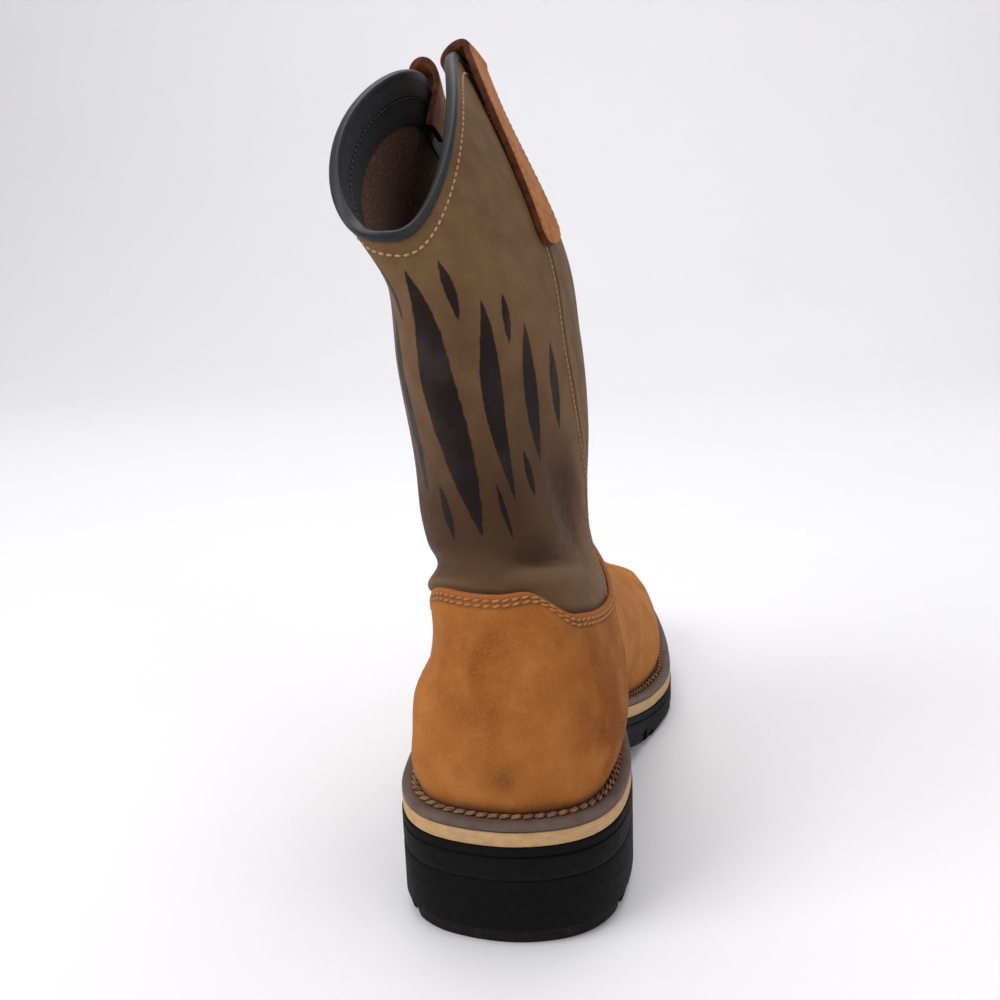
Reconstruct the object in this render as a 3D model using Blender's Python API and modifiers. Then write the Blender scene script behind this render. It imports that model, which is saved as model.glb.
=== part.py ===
"""Pull-on work boot, left foot.

The boot stands on its sole with the toe along +Y, the medial side along +X and +Z up.
Sizes are in millimetres and are scaled to metres when a mesh is made. Lengths along the
foot are measured from the back of the sole. The upper is a loft through closed rings: the
lower rings follow the sole's outline, the higher ones are the ovals of instep and shaft.
Every leather piece is cut from that one wall.
"""

import math
from typing import NamedTuple

import bmesh
import bpy
import numpy as np

MM = 0.001

# Driving sizes
SOLE_LENGTH = 306.0
HEEL_BLOCK_HEIGHT = 26.0
HEEL_BREAST_Y = 82.0
MIDSOLE_THICKNESS = 6.0
WELT_THICKNESS = 3.0
INSOLE_THICKNESS = 5.0
WALL_THICKNESS = 2.4
OVERLAY_THICKNESS = 1.6
OVERLAY_LIFT = 0.6
GAP = 0.3
PANEL_SEAM_INSET = 0.5

# Insets of the layers from the sole's edge
LAYER_INSET = 0.4
WELT_INNER_INSET = 12.6
INSOLE_INSET = 13.0
INSOLE_CLEARANCE = 0.9

# Side of the rubber sole
BOTTOM_BEVEL = 2.2
HEEL_BEVEL_HEIGHT = 5.5
HEEL_BEVEL_STEP = 0.5
HEEL_BEVEL_LIP = 0.8
OUTSOLE_BEVEL_HEIGHT = 2.4
SIDE_LINE_DROP = 3.7
SIDE_LINE_WIDTH = 1.2
SIDE_LINE_DEPTH = 0.8

# Lug grooves, cut across the tread
GROOVE_WIDTH = 6.5
GROOVE_DEPTH = 4.5
GROOVE_REACH = 140.0
GROOVE_SLANT = math.radians(8.0)
HEEL_GROOVES_Y = (22.0, 44.0, 66.0)
FOREFOOT_GROOVES_Y = (152.0, 174.0, 196.0, 218.0, 240.0, 262.0, 284.0)

# Collar binding and pull straps
COLLAR_PEAK_POWER = 1.7
COLLAR_PINCH_POWER = 3.0
COLLAR_PEAK_SHIFT = 0.83
BINDING_OUTER_DEPTH = 2.6
BINDING_INNER_DEPTH = 18.0
BINDING_THICKNESS = 0.6
BINDING_RISE = 1.0
BINDING_SHOULDER = 0.7
STRAP_WIDTH = 25.0
STRAP_THICKNESS = 2.4
STRAP_LATERAL_LOOP_HEIGHT = 9.5
STRAP_MEDIAL_LOOP_HEIGHT = 4.2
STRAP_LATERAL_SHIFT = 7.0
STRAP_MEDIAL_SHIFT = 4.0
STRAP_LOOP_BULGE = 0.2
STRAP_LOOP_STEPS = 6
STRAP_COLUMNS = 9

# Mesh density
HEEL_STATIONS = 14
SEAM_COLUMN = 10
FRONT_COLUMN = 24
EDGE_ROW = 11
RIM_ROW = 22
SHARP_ANGLE = math.radians(35.0)

LATERAL = -1
MEDIAL = 1


class Station(NamedTuple):
    """Half widths of the sole at one length."""

    y: float
    lateral: float
    medial: float


class Level(NamedTuple):
    """Bottom and top of the rubber outsole at one length."""

    y: float
    under: float
    over: float


class FootRing(NamedTuple):
    """Ring of the upper that follows the sole: inset from its edge, lift above the welt."""

    heel_inset: float
    lateral_waist_inset: float
    medial_waist_inset: float
    ball_inset: float
    toe_inset: float
    heel_lift: float
    waist_lift: float
    ball_lift: float
    toe_lift: float
    seam_y: float
    lateral_heel_step: float = 0.0
    medial_heel_step: float = 0.0


class LegRing(NamedTuple):
    """Oval ring of the upper, from a point on the back line to one on the front line."""

    back_x: float
    back_y: float
    back_z: float
    front_x: float
    front_y: float
    front_z: float
    lateral_half: float
    medial_half: float
    widest: float
    back_power: float
    front_power: float
    side_rise: float
    lateral_pinch: float
    medial_pinch: float
    seam_y: float
    lateral_seam_step: float = 0.0
    medial_rise_step: float = 0.0


class Edge(NamedTuple):
    """Height of the top edge of counter and vamp at one place round the half ring."""

    place: float
    medial: float
    lateral: float


class StrapStation(NamedTuple):
    """Middle of the pull strap: depth below the rim, offset out from the wall."""

    depth: float
    offset: float


SOLE_OUTLINE = [
    Station(0.0, 0.0, 0.0),
    Station(6.0, 27.0, 24.5),
    Station(22.0, 41.0, 38.5),
    Station(50.0, 45.0, 43.0),
    Station(84.0, 43.5, 39.5),
    Station(120.0, 40.0, 35.5),
    Station(158.0, 45.5, 44.5),
    Station(196.0, 53.0, 55.5),
    Station(228.0, 55.0, 55.5),
    Station(258.0, 51.0, 51.5),
    Station(282.0, 42.0, 45.0),
    Station(298.0, 28.5, 34.0),
    Station(SOLE_LENGTH, -3.0, 3.0),
]

SOLE_LEVELS = [
    Level(0.0, HEEL_BLOCK_HEIGHT, 39.0),
    Level(45.0, HEEL_BLOCK_HEIGHT, 39.0),
    Level(98.0, HEEL_BLOCK_HEIGHT, 37.0),
    Level(124.0, 16.0, 29.6),
    Level(150.0, 5.0, 21.0),
    Level(172.0, 0.0, 15.5),
    Level(205.0, 0.0, 14.0),
    Level(240.0, 0.0, 14.3),
    Level(275.0, 3.6, 17.8),
    Level(SOLE_LENGTH, 10.5, 24.5),
]

FOOT_RINGS = [
    FootRing(9.4, 9.0, 9.0, 9.6, 10.0, 0.0, 0.0, 0.0, 0.0, 60.0),
    FootRing(6.2, 6.6, 5.2, 7.6, 7.4, 9.0, 9.0, 9.0, 8.0, 61.0, 0.8, -0.8),
    FootRing(5.0, 4.6, 2.2, 9.0, 9.4, 21.0, 20.5, 19.5, 15.0, 63.0, 4.6, -1.8),
    FootRing(6.2, 3.4, -0.6, 16.5, 21.0, 37.0, 36.0, 33.5, 21.5, 66.0, 5.5, -1.6),
]

LEG_RINGS = [
    LegRing(0.0, 7.5, 98.0, 4.0, 258.0, 62.0, 33.5, 36.5, 0.36, 3.0, 2.15, 0.0, 0.0, 0.0, 70.0),
    LegRing(0.0, 12.0, 109.0, 5.0, 226.0, 76.0, 32.0, 33.0, 0.35, 2.8, 1.5, 0.0, 0.0, 0.0, 75.0),
    LegRing(-1.0, 16.0, 120.0, 4.5, 200.0, 97.0, 31.5, 30.0, 0.31, 2.5, 1.4, 0.0, 0.0, 0.0, 83.0),
    LegRing(-3.0, 19.0, 131.0, 3.0, 182.0, 120.0, 32.5, 26.0, 0.38, 2.2, 1.55, 0.0, 0.0, 0.0, 90.0),
    LegRing(-6.0, 20.5, 146.0, 0.0, 171.0, 144.0, 35.0, 27.5, 0.44, 2.0, 1.7, 0.0, 0.0, 0.0, 88.0),
    LegRing(-12.0, 20.0, 170.0, -4.0, 166.5, 170.0, 32.0, 32.5, 0.48, 1.85, 1.9, 0.0, 0.0, 0.0, 80.0),
    LegRing(-19.0, 18.0, 200.0, -8.0, 167.0, 203.0, 29.5, 35.2, 0.49, 1.8, 1.9, 2.0, 0.0, 0.0, 75.5, 4.0),
    LegRing(-23.0, 17.0, 226.0, -13.0, 174.0, 238.0, 27.0, 33.3, 0.47, 1.8, 1.9, 13.0, 0.0, 0.05, 79.0, 12.0),
    LegRing(
        -33.0, 19.0, 250.0, -22.0, 192.0, 274.0, 34.0, 20.5, 0.40, 2.2, 1.5, 45.0, 0.60, 0.72, 110.0,
        16.0, 5.5,
    ),
]

TOP_EDGE = [
    Edge(0.00, 127.0, 127.0),
    Edge(0.09, 126.5, 127.0),
    Edge(0.155, 117.5, 126.0),
    Edge(0.205, 114.5, 123.0),
    Edge(0.25, 112.0, 116.5),
    Edge(0.32, 108.5, 110.0),
    Edge(0.40, 105.0, 105.0),
    Edge(0.55, 102.5, 102.5),
    Edge(0.70, 103.5, 103.5),
    Edge(0.84, 115.0, 115.0),
    Edge(0.94, 138.0, 138.0),
    Edge(1.00, 147.0, 147.0),
]

STRAP_OUTER_LEG = [
    StrapStation(79.0, 1.7),
    StrapStation(61.0, 1.7),
    StrapStation(44.0, 1.8),
    StrapStation(30.0, 2.1),
    StrapStation(18.0, 2.7),
    StrapStation(8.0, 3.6),
    StrapStation(0.0, 4.2),
]

STRAP_INNER_LEG = [
    StrapStation(0.0, -5.9),
    StrapStation(4.0, -5.8),
    StrapStation(8.0, -5.5),
    StrapStation(12.0, -5.2),
    StrapStation(16.0, -5.2),
]


def blend_four(before, here, after, beyond, part):
    """Catmull-Rom blend between here and after."""
    slope_here = 0.5 * (after - before)
    slope_after = 0.5 * (beyond - here)
    rise = after - here
    bend = 3.0 * rise - 2.0 * slope_here - slope_after
    twist = slope_here + slope_after - 2.0 * rise
    return here + part * (slope_here + part * (bend + part * twist))


def extended(rows):
    """Rows with one more at each end, carried on straight."""
    return np.concatenate([2.0 * rows[:1] - rows[1:2], rows, 2.0 * rows[-1:] - rows[-2:-1]])


def curve_value(rows, where):
    """Value of the smooth curve through a column of numbers, at fractional row numbers."""
    padded = extended(np.asarray(rows, float))
    where = np.clip(where, 0.0, len(rows) - 1.0)
    start = np.minimum(where.astype(int), len(rows) - 2)
    return blend_four(*(padded[start + step] for step in range(4)), where - start)


def table_value(x, places, values):
    """Value of a short table at x, smooth between its rows."""
    row = np.interp(x, places, np.arange(len(places)))
    return curve_value(values, row)


def round_to_length(s):
    """Share of the length at a place round the half ring, 0 at the back and 1 at the front."""
    return 0.5 * (1.0 - np.cos(math.pi * s))


def length_to_round(share):
    """Place round the half ring at a share of the length."""
    return np.arccos(np.clip(1.0 - 2.0 * share, -1.0, 1.0)) / math.pi


def full_stations():
    """Places round the half outline, one for each column of the upper's lowest ring."""
    seam = length_to_round(FOOT_RINGS[0].seam_y / SOLE_LENGTH)
    behind = np.linspace(0.0, seam, SEAM_COLUMN + 1)
    return np.append(behind, np.linspace(seam, 1.0, FRONT_COLUMN - SEAM_COLUMN + 1)[1:])


def unit(vectors):
    """Vectors scaled to length one."""
    return vectors / np.linalg.norm(vectors, axis=-1, keepdims=True)


class SoleForm:
    """Plan outline and levels of the sole."""

    SAMPLES = 1600

    def __init__(self):
        table = np.array(SOLE_OUTLINE)
        self.lines = {}
        for side, own, other in ((LATERAL, 1, 2), (MEDIAL, 2, 1)):
            rows = np.column_stack([side * table[:, own], table[:, 0]])
            behind = [-side * table[1, other], table[1, 0]]
            ahead = [-side * table[-2, other], table[-2, 0]]
            padded = np.vstack([behind, rows, ahead])
            where = np.linspace(0.0, len(rows) - 1.0, self.SAMPLES)
            start = np.minimum(where.astype(int), len(rows) - 2)
            part = (where - start)[:, None]
            line = blend_four(*(padded[start + step] for step in range(4)), part)
            slope = np.gradient(line, axis=0)
            outward = unit(side * np.column_stack([slope[:, 1], -slope[:, 0]]))
            self.lines[side] = np.hstack([line, outward])
        self.levels = np.array(SOLE_LEVELS)

    def under(self, y):
        """Bottom of the outsole."""
        return np.clip(table_value(y, self.levels[:, 0], self.levels[:, 1]), 0.0, HEEL_BLOCK_HEIGHT)

    def over(self, y):
        """Top of the outsole."""
        return table_value(y, self.levels[:, 0], self.levels[:, 2])

    def welt_top(self, y):
        """Top of the welt, where the upper starts."""
        return self.over(y) + MIDSOLE_THICKNESS + GAP + WELT_THICKNESS

    def edge(self, side, s, inset):
        """Plan points of the outline, moved in from the edge along its normal."""
        line = self.lines[side]
        length = round_to_length(s) * SOLE_LENGTH
        index = np.interp(length, line[:, 1], np.arange(len(line)))
        x, y, out_x, out_y = (np.interp(index, np.arange(len(line)), line[:, k]) for k in range(4))
        return np.column_stack([x - out_x * inset, y - out_y * inset])

    def loop(self, inset, s):
        """Plan loop: lateral side from the back to the front, medial side back again."""
        lateral = self.edge(LATERAL, s, inset)
        medial = self.edge(MEDIAL, s, inset)
        shared_front = 1 if s[-1] == 1.0 else 0
        return np.vstack([lateral, medial[::-1][shared_front:-1]])


class UpperForm:
    """The wall of the upper: a side, a place round the half ring and a ring number to a point."""

    STEP = 1e-3
    SETTLE_ROUNDS = 6
    EDGE_PLACES = np.linspace(0.0, 1.0, 161)
    RING_SAMPLES = 481
    FOOT_PLACES = np.array([0.0, 0.18, 0.42, 0.68, 0.95, 1.0])

    def __init__(self, sole):
        self.sole = sole
        self.rim = len(FOOT_RINGS) + len(LEG_RINGS) - 1.0
        self.seam_places = {side: self.find_seam(side) for side in (LATERAL, MEDIAL)}
        self.edge_rings = {side: self.find_edge(side) for side in (LATERAL, MEDIAL)}

    def find_seam(self, side):
        """Place of the side seam on each ring."""
        shares = [ring.seam_y / SOLE_LENGTH for ring in FOOT_RINGS]
        for ring in LEG_RINGS:
            seam_y = ring.seam_y + (ring.lateral_seam_step if side == LATERAL else 0.0)
            shares.append((seam_y - ring.back_y) / (ring.front_y - ring.back_y))
        return length_to_round(np.array(shares))

    def foot_ring(self, ring, side, s):
        """Points of a ring that follows the sole's outline."""
        share = round_to_length(s)
        waist_inset = ring.lateral_waist_inset if side == LATERAL else ring.medial_waist_inset
        step = ring.lateral_heel_step if side == LATERAL else ring.medial_heel_step
        insets = [ring.heel_inset, ring.heel_inset + step, waist_inset + 0.5 * step]
        insets += [ring.ball_inset, ring.toe_inset, ring.toe_inset]
        lifts = [ring.heel_lift, ring.heel_lift, ring.waist_lift]
        lifts += [ring.ball_lift, ring.toe_lift, ring.toe_lift]
        plan = self.sole.edge(side, s, table_value(share, self.FOOT_PLACES, insets))
        lift = table_value(share, self.FOOT_PLACES, lifts)
        return np.column_stack([plan, self.sole.welt_top(plan[:, 1]) + GAP + lift])

    def leg_ring(self, ring, side, s):
        """Points of an oval ring."""
        share = round_to_length(s)
        behind = share < ring.widest
        span = np.where(behind, ring.widest, 1.0 - ring.widest)
        power = np.where(behind, ring.back_power, ring.front_power)
        reach = np.minimum(np.abs(share - ring.widest) / span, 1.0)
        if side == LATERAL:
            widest_half, pinch, rise = ring.lateral_half, ring.lateral_pinch, ring.side_rise
        else:
            widest_half, pinch = ring.medial_half, ring.medial_pinch
            rise = ring.side_rise + ring.medial_rise_step
        half = widest_half * (1.0 - reach ** power) ** (1.0 / power)
        shifted = share ** COLLAR_PEAK_SHIFT
        crest = (4.0 * shifted * (1.0 - shifted)) ** COLLAR_PEAK_POWER
        waist = (4.0 * share * (1.0 - share)) ** COLLAR_PINCH_POWER
        middle = ring.back_x + (ring.front_x - ring.back_x) * share
        x = middle + side * half * (1.0 - pinch * waist)
        y = ring.back_y + (ring.front_y - ring.back_y) * share
        z = ring.back_z + (ring.front_z - ring.back_z) * share + rise * crest
        return np.column_stack([x, y, z])

    def point(self, side, s, v):
        """Points of the wall's outer face at places s and rings v, arrays of one shape."""
        s, v = np.broadcast_arrays(np.asarray(s, float), np.asarray(v, float))
        shape = s.shape
        s = np.clip(s.ravel(), 0.0, 1.0)
        v = np.clip(v.ravel(), 0.0, self.rim)
        rings = [self.foot_ring(ring, side, s) for ring in FOOT_RINGS]
        rings += [self.leg_ring(ring, side, s) for ring in LEG_RINGS]
        padded = extended(np.array(rings))
        start = np.minimum(v.astype(int), int(self.rim) - 1)
        picks = np.arange(len(s))
        around = (padded[start + step, picks] for step in range(4))
        return blend_four(*around, (v - start)[:, None]).reshape(shape + (3,))

    def slopes(self, side, s, v):
        """Change of the point per step round the ring and per ring."""
        s_low, s_high = np.clip(s - self.STEP, 0.0, 1.0), np.clip(s + self.STEP, 0.0, 1.0)
        v_low, v_high = np.clip(v - self.STEP, 0.0, self.rim), np.clip(v + self.STEP, 0.0, self.rim)
        around = (self.point(side, s_high, v) - self.point(side, s_low, v)) / (s_high - s_low)[..., None]
        upward = (self.point(side, s, v_high) - self.point(side, s, v_low)) / (v_high - v_low)[..., None]
        return around, upward

    def normal(self, side, s, v):
        """Outward normal of the wall."""
        around, upward = self.slopes(side, s, v)
        return unit(side * np.cross(around, upward))

    def find_edge(self, side):
        """Ring number of the top edge of counter and vamp, at evenly spaced places."""
        rings = np.linspace(0.0, self.rim, self.RING_SAMPLES)
        heights = self.point(side, self.EDGE_PLACES[:, None], rings[None, :])[..., 2]
        edge = np.array(TOP_EDGE)
        wanted = table_value(self.EDGE_PLACES, edge[:, 0], edge[:, 2 if side == LATERAL else 1])
        found = [np.interp(height, column, rings) for height, column in zip(wanted, heights)]
        return np.array(found)

    def edge_ring(self, side, s):
        """Ring number of the top edge of counter and vamp at a place."""
        return np.interp(s, self.EDGE_PLACES, self.edge_rings[side])

    def ring_below_rim(self, side, s, depth):
        """Ring number at a depth below the rim, measured along the wall."""
        _, upward = self.slopes(side, s, np.full_like(s, self.rim))
        return self.rim - depth / np.linalg.norm(upward, axis=-1)

    def places(self, side):
        """Place and ring of each grid point of one side: a column on the seam, a row on the edge."""
        column = np.arange(FRONT_COLUMN + 1)[None, :]
        row = np.arange(RIM_ROW + 1)[:, None]
        v = row * self.rim / RIM_ROW + 0.0 * column
        for _ in range(self.SETTLE_ROUNDS):
            seam = curve_value(self.seam_places[side], v)
            ahead = (column - SEAM_COLUMN) / (FRONT_COLUMN - SEAM_COLUMN)
            s = np.where(column <= SEAM_COLUMN, seam * column / SEAM_COLUMN, seam + (1.0 - seam) * ahead)
            edge = self.edge_ring(side, s)
            facing = self.ring_below_rim(side, s, BINDING_INNER_DEPTH)
            lap = self.ring_below_rim(side, s, BINDING_OUTER_DEPTH)
            above = (row - EDGE_ROW) / (RIM_ROW - 2.0 - EDGE_ROW)
            v = np.where(row <= EDGE_ROW, edge * row / EDGE_ROW, edge + (facing - edge) * above)
            v = np.where(row == RIM_ROW - 1, lap, v)
            v = np.where(row == RIM_ROW, self.rim, v)
        return s, v

    def grid(self):
        """Points and normals of the whole wall, rows from the feather line to the rim."""
        parts = []
        for side in (LATERAL, MEDIAL):
            s, v = self.places(side)
            parts.append((self.point(side, s, v), self.normal(side, s, v)))
        lateral, medial = parts
        return tuple(np.hstack([a, b[:, -2:0:-1]]) for a, b in zip(lateral, medial))


def add_mesh(name, points, faces):
    """Mesh object from points in millimetres, faces turned outwards."""
    mesh = bpy.data.meshes.new(name)
    mesh.from_pydata((np.asarray(points) * MM).tolist(), [], faces)
    work = bmesh.new()
    work.from_mesh(mesh)
    bmesh.ops.recalc_face_normals(work, faces=work.faces)
    work.to_mesh(mesh)
    work.free()
    return bpy.data.objects.new(name, mesh)


def strip_faces(rows, columns, wrap, first=0):
    """Triangles of a grid of points, each cell split the same way."""
    faces = []
    for row in range(rows - 1):
        for column in range(columns if wrap else columns - 1):
            a = first + row * columns + column
            b = first + row * columns + (column + 1) % columns
            c, d = b + columns, a + columns
            faces.append((a, d, c))
            faces.append((a, c, b))
    return faces


def add_loft(name, loops):
    """Solid through closed loops of equal count, capped by strips from side to side."""
    count = len(loops[0])
    faces = strip_faces(len(loops), count, wrap=True)
    for base in (0, (len(loops) - 1) * count):
        for step in range((count + 1) // 2):
            corners = [step, step + 1, (count - step - 1) % count, (count - step) % count]
            corners = list(dict.fromkeys(corners))
            if len(corners) > 2:
                faces.append([base + corner for corner in corners])
    return add_mesh(name, np.vstack(loops), faces)


def add_ring(name, loops):
    """Solid ring: closed loops joined in turn, the last one to the first."""
    count = len(loops[0])
    faces = strip_faces(len(loops) + 1, count, wrap=True)
    total = count * len(loops)
    faces = [tuple(corner % total for corner in face) for face in faces]
    return add_mesh(name, np.vstack(loops), faces)


def add_shell(name, inner, outer, wrap):
    """Solid between two grids of the same size, round a tube if wrap is set."""
    rows, columns = inner.shape[:2]
    total = rows * columns
    faces = strip_faces(rows, columns, wrap)
    faces += strip_faces(rows, columns, wrap, first=total)
    bottom = list(range(columns))
    top = list(range(total - columns, total))
    if wrap:
        borders = [bottom, top]
    else:
        right = [row * columns + columns - 1 for row in range(1, rows - 1)]
        left = [row * columns for row in range(rows - 2, 0, -1)]
        borders = [bottom + right + top[::-1] + left]
    for border in borders:
        for here, there in zip(border, border[1:] + border[:1]):
            faces.append((here, there, there + total))
            faces.append((here, there + total, here + total))
    points = np.vstack([inner.reshape(-1, 3), outer.reshape(-1, 3)])
    return add_mesh(name, points, faces)


def with_height(plan, height):
    """Points from plan points and a height for each."""
    return np.column_stack([plan, np.broadcast_to(height, len(plan))])


def add_heel_block(sole):
    """Rubber heel under the outsole, with a bevelled bottom band."""
    s = np.linspace(0.0, length_to_round(HEEL_BREAST_Y / SOLE_LENGTH), HEEL_STATIONS + 1)
    top = HEEL_BLOCK_HEIGHT - GAP
    lip = HEEL_BEVEL_HEIGHT + HEEL_BEVEL_LIP
    levels = ((BOTTOM_BEVEL, 0.0), (HEEL_BEVEL_STEP, HEEL_BEVEL_HEIGHT), (0.0, lip), (0.0, top))
    loops = [with_height(sole.loop(inset, s), height) for inset, height in levels]
    return add_loft("heel_block", loops)


def add_outsole(sole):
    """Full rubber outsole with bevelled bottom edge and a line groove round its side."""
    half_line = 0.5 * SIDE_LINE_WIDTH
    s = full_stations()
    bevel = np.where(round_to_length(s) * SOLE_LENGTH < HEEL_BREAST_Y, LAYER_INSET, BOTTOM_BEVEL)
    loops = []
    for inset, base, rise in (
        (bevel, sole.under, 0.0),
        (0.0, sole.under, OUTSOLE_BEVEL_HEIGHT),
        (0.0, sole.over, -SIDE_LINE_DROP - half_line),
        (SIDE_LINE_DEPTH, sole.over, -SIDE_LINE_DROP),
        (0.0, sole.over, -SIDE_LINE_DROP + half_line),
        (0.0, sole.over, 0.0),
    ):
        plan = sole.loop(inset, s)
        loops.append(with_height(plan, base(plan[:, 1]) + rise))
    return add_loft("outsole", loops)


def add_layer(name, sole, inset, bottom, top):
    """Layer that follows the top of the outsole."""
    plan = sole.loop(inset, full_stations())
    base = sole.over(plan[:, 1])
    return add_loft(name, [with_height(plan, base + bottom), with_height(plan, base + top)])


def add_welt(sole):
    """Welt strip between the midsole and the upper."""
    bottom = MIDSOLE_THICKNESS + GAP
    top = bottom + WELT_THICKNESS
    loops = []
    for inset, rise in ((LAYER_INSET, bottom), (LAYER_INSET, top), (WELT_INNER_INSET, top),
                        (WELT_INNER_INSET, bottom)):
        plan = sole.loop(inset, full_stations())
        loops.append(with_height(plan, sole.over(plan[:, 1]) + rise))
    return add_ring("welt", loops)


def add_upper(points, normals):
    """Foot and shaft as one hollow wall, open at the collar and underneath."""
    return add_shell("upper", points - normals * WALL_THICKNESS, points, wrap=True)


def add_overlay(name, points, normals, columns):
    """Leather panel over the upper, from the feather line to the top edge."""
    patch = points[:EDGE_ROW + 1, columns].copy()
    outward = normals[:EDGE_ROW + 1, columns].copy()
    outward[0, :, 2] = 0.0
    outward[0] = unit(outward[0])
    patch[0] += unit(patch[1] - patch[0]) * OVERLAY_LIFT
    for border, inside in ((0, 1), (-1, -2)):
        patch[:, border] += unit(patch[:, inside] - patch[:, border]) * PANEL_SEAM_INSET
    outer = patch + outward * (GAP + OVERLAY_THICKNESS)
    return add_shell(name, patch + outward * GAP, outer, wrap=False)


def add_binding(points, normals):
    """Binding over the collar's edge, with a facing band inside."""
    up = unit(points[RIM_ROW] - points[RIM_ROW - 1])
    lap, facing = RIM_ROW - 1, RIM_ROW - 2
    outer = GAP + BINDING_THICKNESS
    inner = -WALL_THICKNESS - GAP - BINDING_THICKNESS
    shoulder = GAP + BINDING_SHOULDER * BINDING_RISE
    profile = (
        (lap, GAP, 0.0),
        (lap, outer, 0.0),
        (RIM_ROW, outer, 0.0),
        (RIM_ROW, 0.5 * outer, shoulder),
        (RIM_ROW, -0.5 * WALL_THICKNESS, GAP + BINDING_RISE),
        (RIM_ROW, inner - 0.5 * outer + BINDING_THICKNESS, shoulder),
        (RIM_ROW, inner, 0.0),
        (lap, inner, 0.0),
        (facing, inner, 0.0),
        (facing, inner + BINDING_THICKNESS, 0.0),
        (lap, inner + BINDING_THICKNESS, 0.0),
        (RIM_ROW, inner + BINDING_THICKNESS, GAP),
        (RIM_ROW, GAP, GAP),
    )
    loops = [points[row] + normals[row] * offset + up * rise for row, offset, rise in profile]
    return add_ring("collar_binding", loops)


def strap_leg(form, side, stations, across):
    """Points of a strap leg, along the wall."""
    rows = []
    forward = STRAP_LATERAL_SHIFT if side == LATERAL else STRAP_MEDIAL_SHIFT
    for depth, offset in stations:
        rim = np.array([form.rim])
        seam = curve_value(form.seam_places[side], rim)
        ring = form.ring_below_rim(side, seam, depth)
        seam = curve_value(form.seam_places[side], ring)
        around, _ = form.slopes(side, seam, ring)
        place = seam + (forward + across * 0.5 * STRAP_WIDTH) / np.linalg.norm(around)
        rings = np.full_like(place, ring[0])
        rows.append(form.point(side, place, rings) + form.normal(side, place, rings) * offset)
    return np.array(rows)


def add_strap(name, form, side):
    """Pull strap: up the outside, in a loop over the rim and down the inside."""
    across = np.linspace(-1.0, 1.0, STRAP_COLUMNS)
    outside = strap_leg(form, side, STRAP_OUTER_LEG, across)
    inside = strap_leg(form, side, STRAP_INNER_LEG, across)
    turns = np.linspace(0.0, math.pi, STRAP_LOOP_STEPS + 1)[1:-1]
    middle = 0.5 * (outside[-1] + inside[0])
    reach = 0.5 * (outside[-1] - inside[0])
    lift = np.array([0.0, 0.0, STRAP_LATERAL_LOOP_HEIGHT if side == LATERAL else STRAP_MEDIAL_LOOP_HEIGHT])
    loop = []
    for turn in turns:
        bulge = 1.0 + STRAP_LOOP_BULGE * math.sin(turn)
        loop.append(middle + reach * math.cos(turn) * bulge + lift * math.sin(turn))
    sheet = np.concatenate([outside, loop, inside])
    rows, columns = sheet.shape[:2]
    strap = add_mesh(name, sheet.reshape(-1, 3), strip_faces(rows, columns, wrap=False))
    body = strap.modifiers.new("thickness", "SOLIDIFY")
    body.thickness = STRAP_THICKNESS * MM
    body.offset = 0.0
    body.use_even_offset = True
    return strap


def cut_grooves(target, sole, places, cutters):
    """Cut lug grooves across the tread of a piece, slanting to and fro."""
    for number, y in enumerate(places):
        base = float(sole.under(np.array([y]))[0]) if target.name == "outsole" else 0.0
        bpy.ops.mesh.primitive_cube_add(size=1.0)
        cutter = bpy.context.object
        cutter.name = f"{target.name}_groove_{number + 1}"
        cutter.scale = (GROOVE_REACH * MM, GROOVE_WIDTH * MM, 2.0 * GROOVE_DEPTH * MM)
        cutter.location = (0.0, y * MM, base * MM)
        cutter.rotation_euler = (0.0, 0.0, GROOVE_SLANT * (-1) ** number)
        cutter.hide_render = True
        cutter.display_type = "WIRE"
        for collection in list(cutter.users_collection):
            collection.objects.unlink(cutter)
        cutters.objects.link(cutter)
        cut = target.modifiers.new(cutter.name, "BOOLEAN")
        cut.operation = "DIFFERENCE"
        cut.solver = "EXACT"
        cut.object = cutter


def make_material(name, color, roughness):
    """Plain surface with the piece's colour."""
    material = bpy.data.materials.new(name)
    material.use_nodes = True
    shader = material.node_tree.nodes["Principled BSDF"]
    shader.inputs["Base Color"].default_value = (*color, 1.0)
    shader.inputs["Roughness"].default_value = roughness
    shader.inputs["Metallic"].default_value = 0.0
    return material


def box_of(objects):
    """Lowest and highest corner of the evaluated objects."""
    graph = bpy.context.evaluated_depsgraph_get()
    corners = []
    for item in objects:
        mesh = item.evaluated_get(graph).data
        corners += [item.matrix_world @ vertex.co for vertex in mesh.vertices]
    corners = np.array(corners)
    return corners.min(axis=0), corners.max(axis=0)


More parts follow.
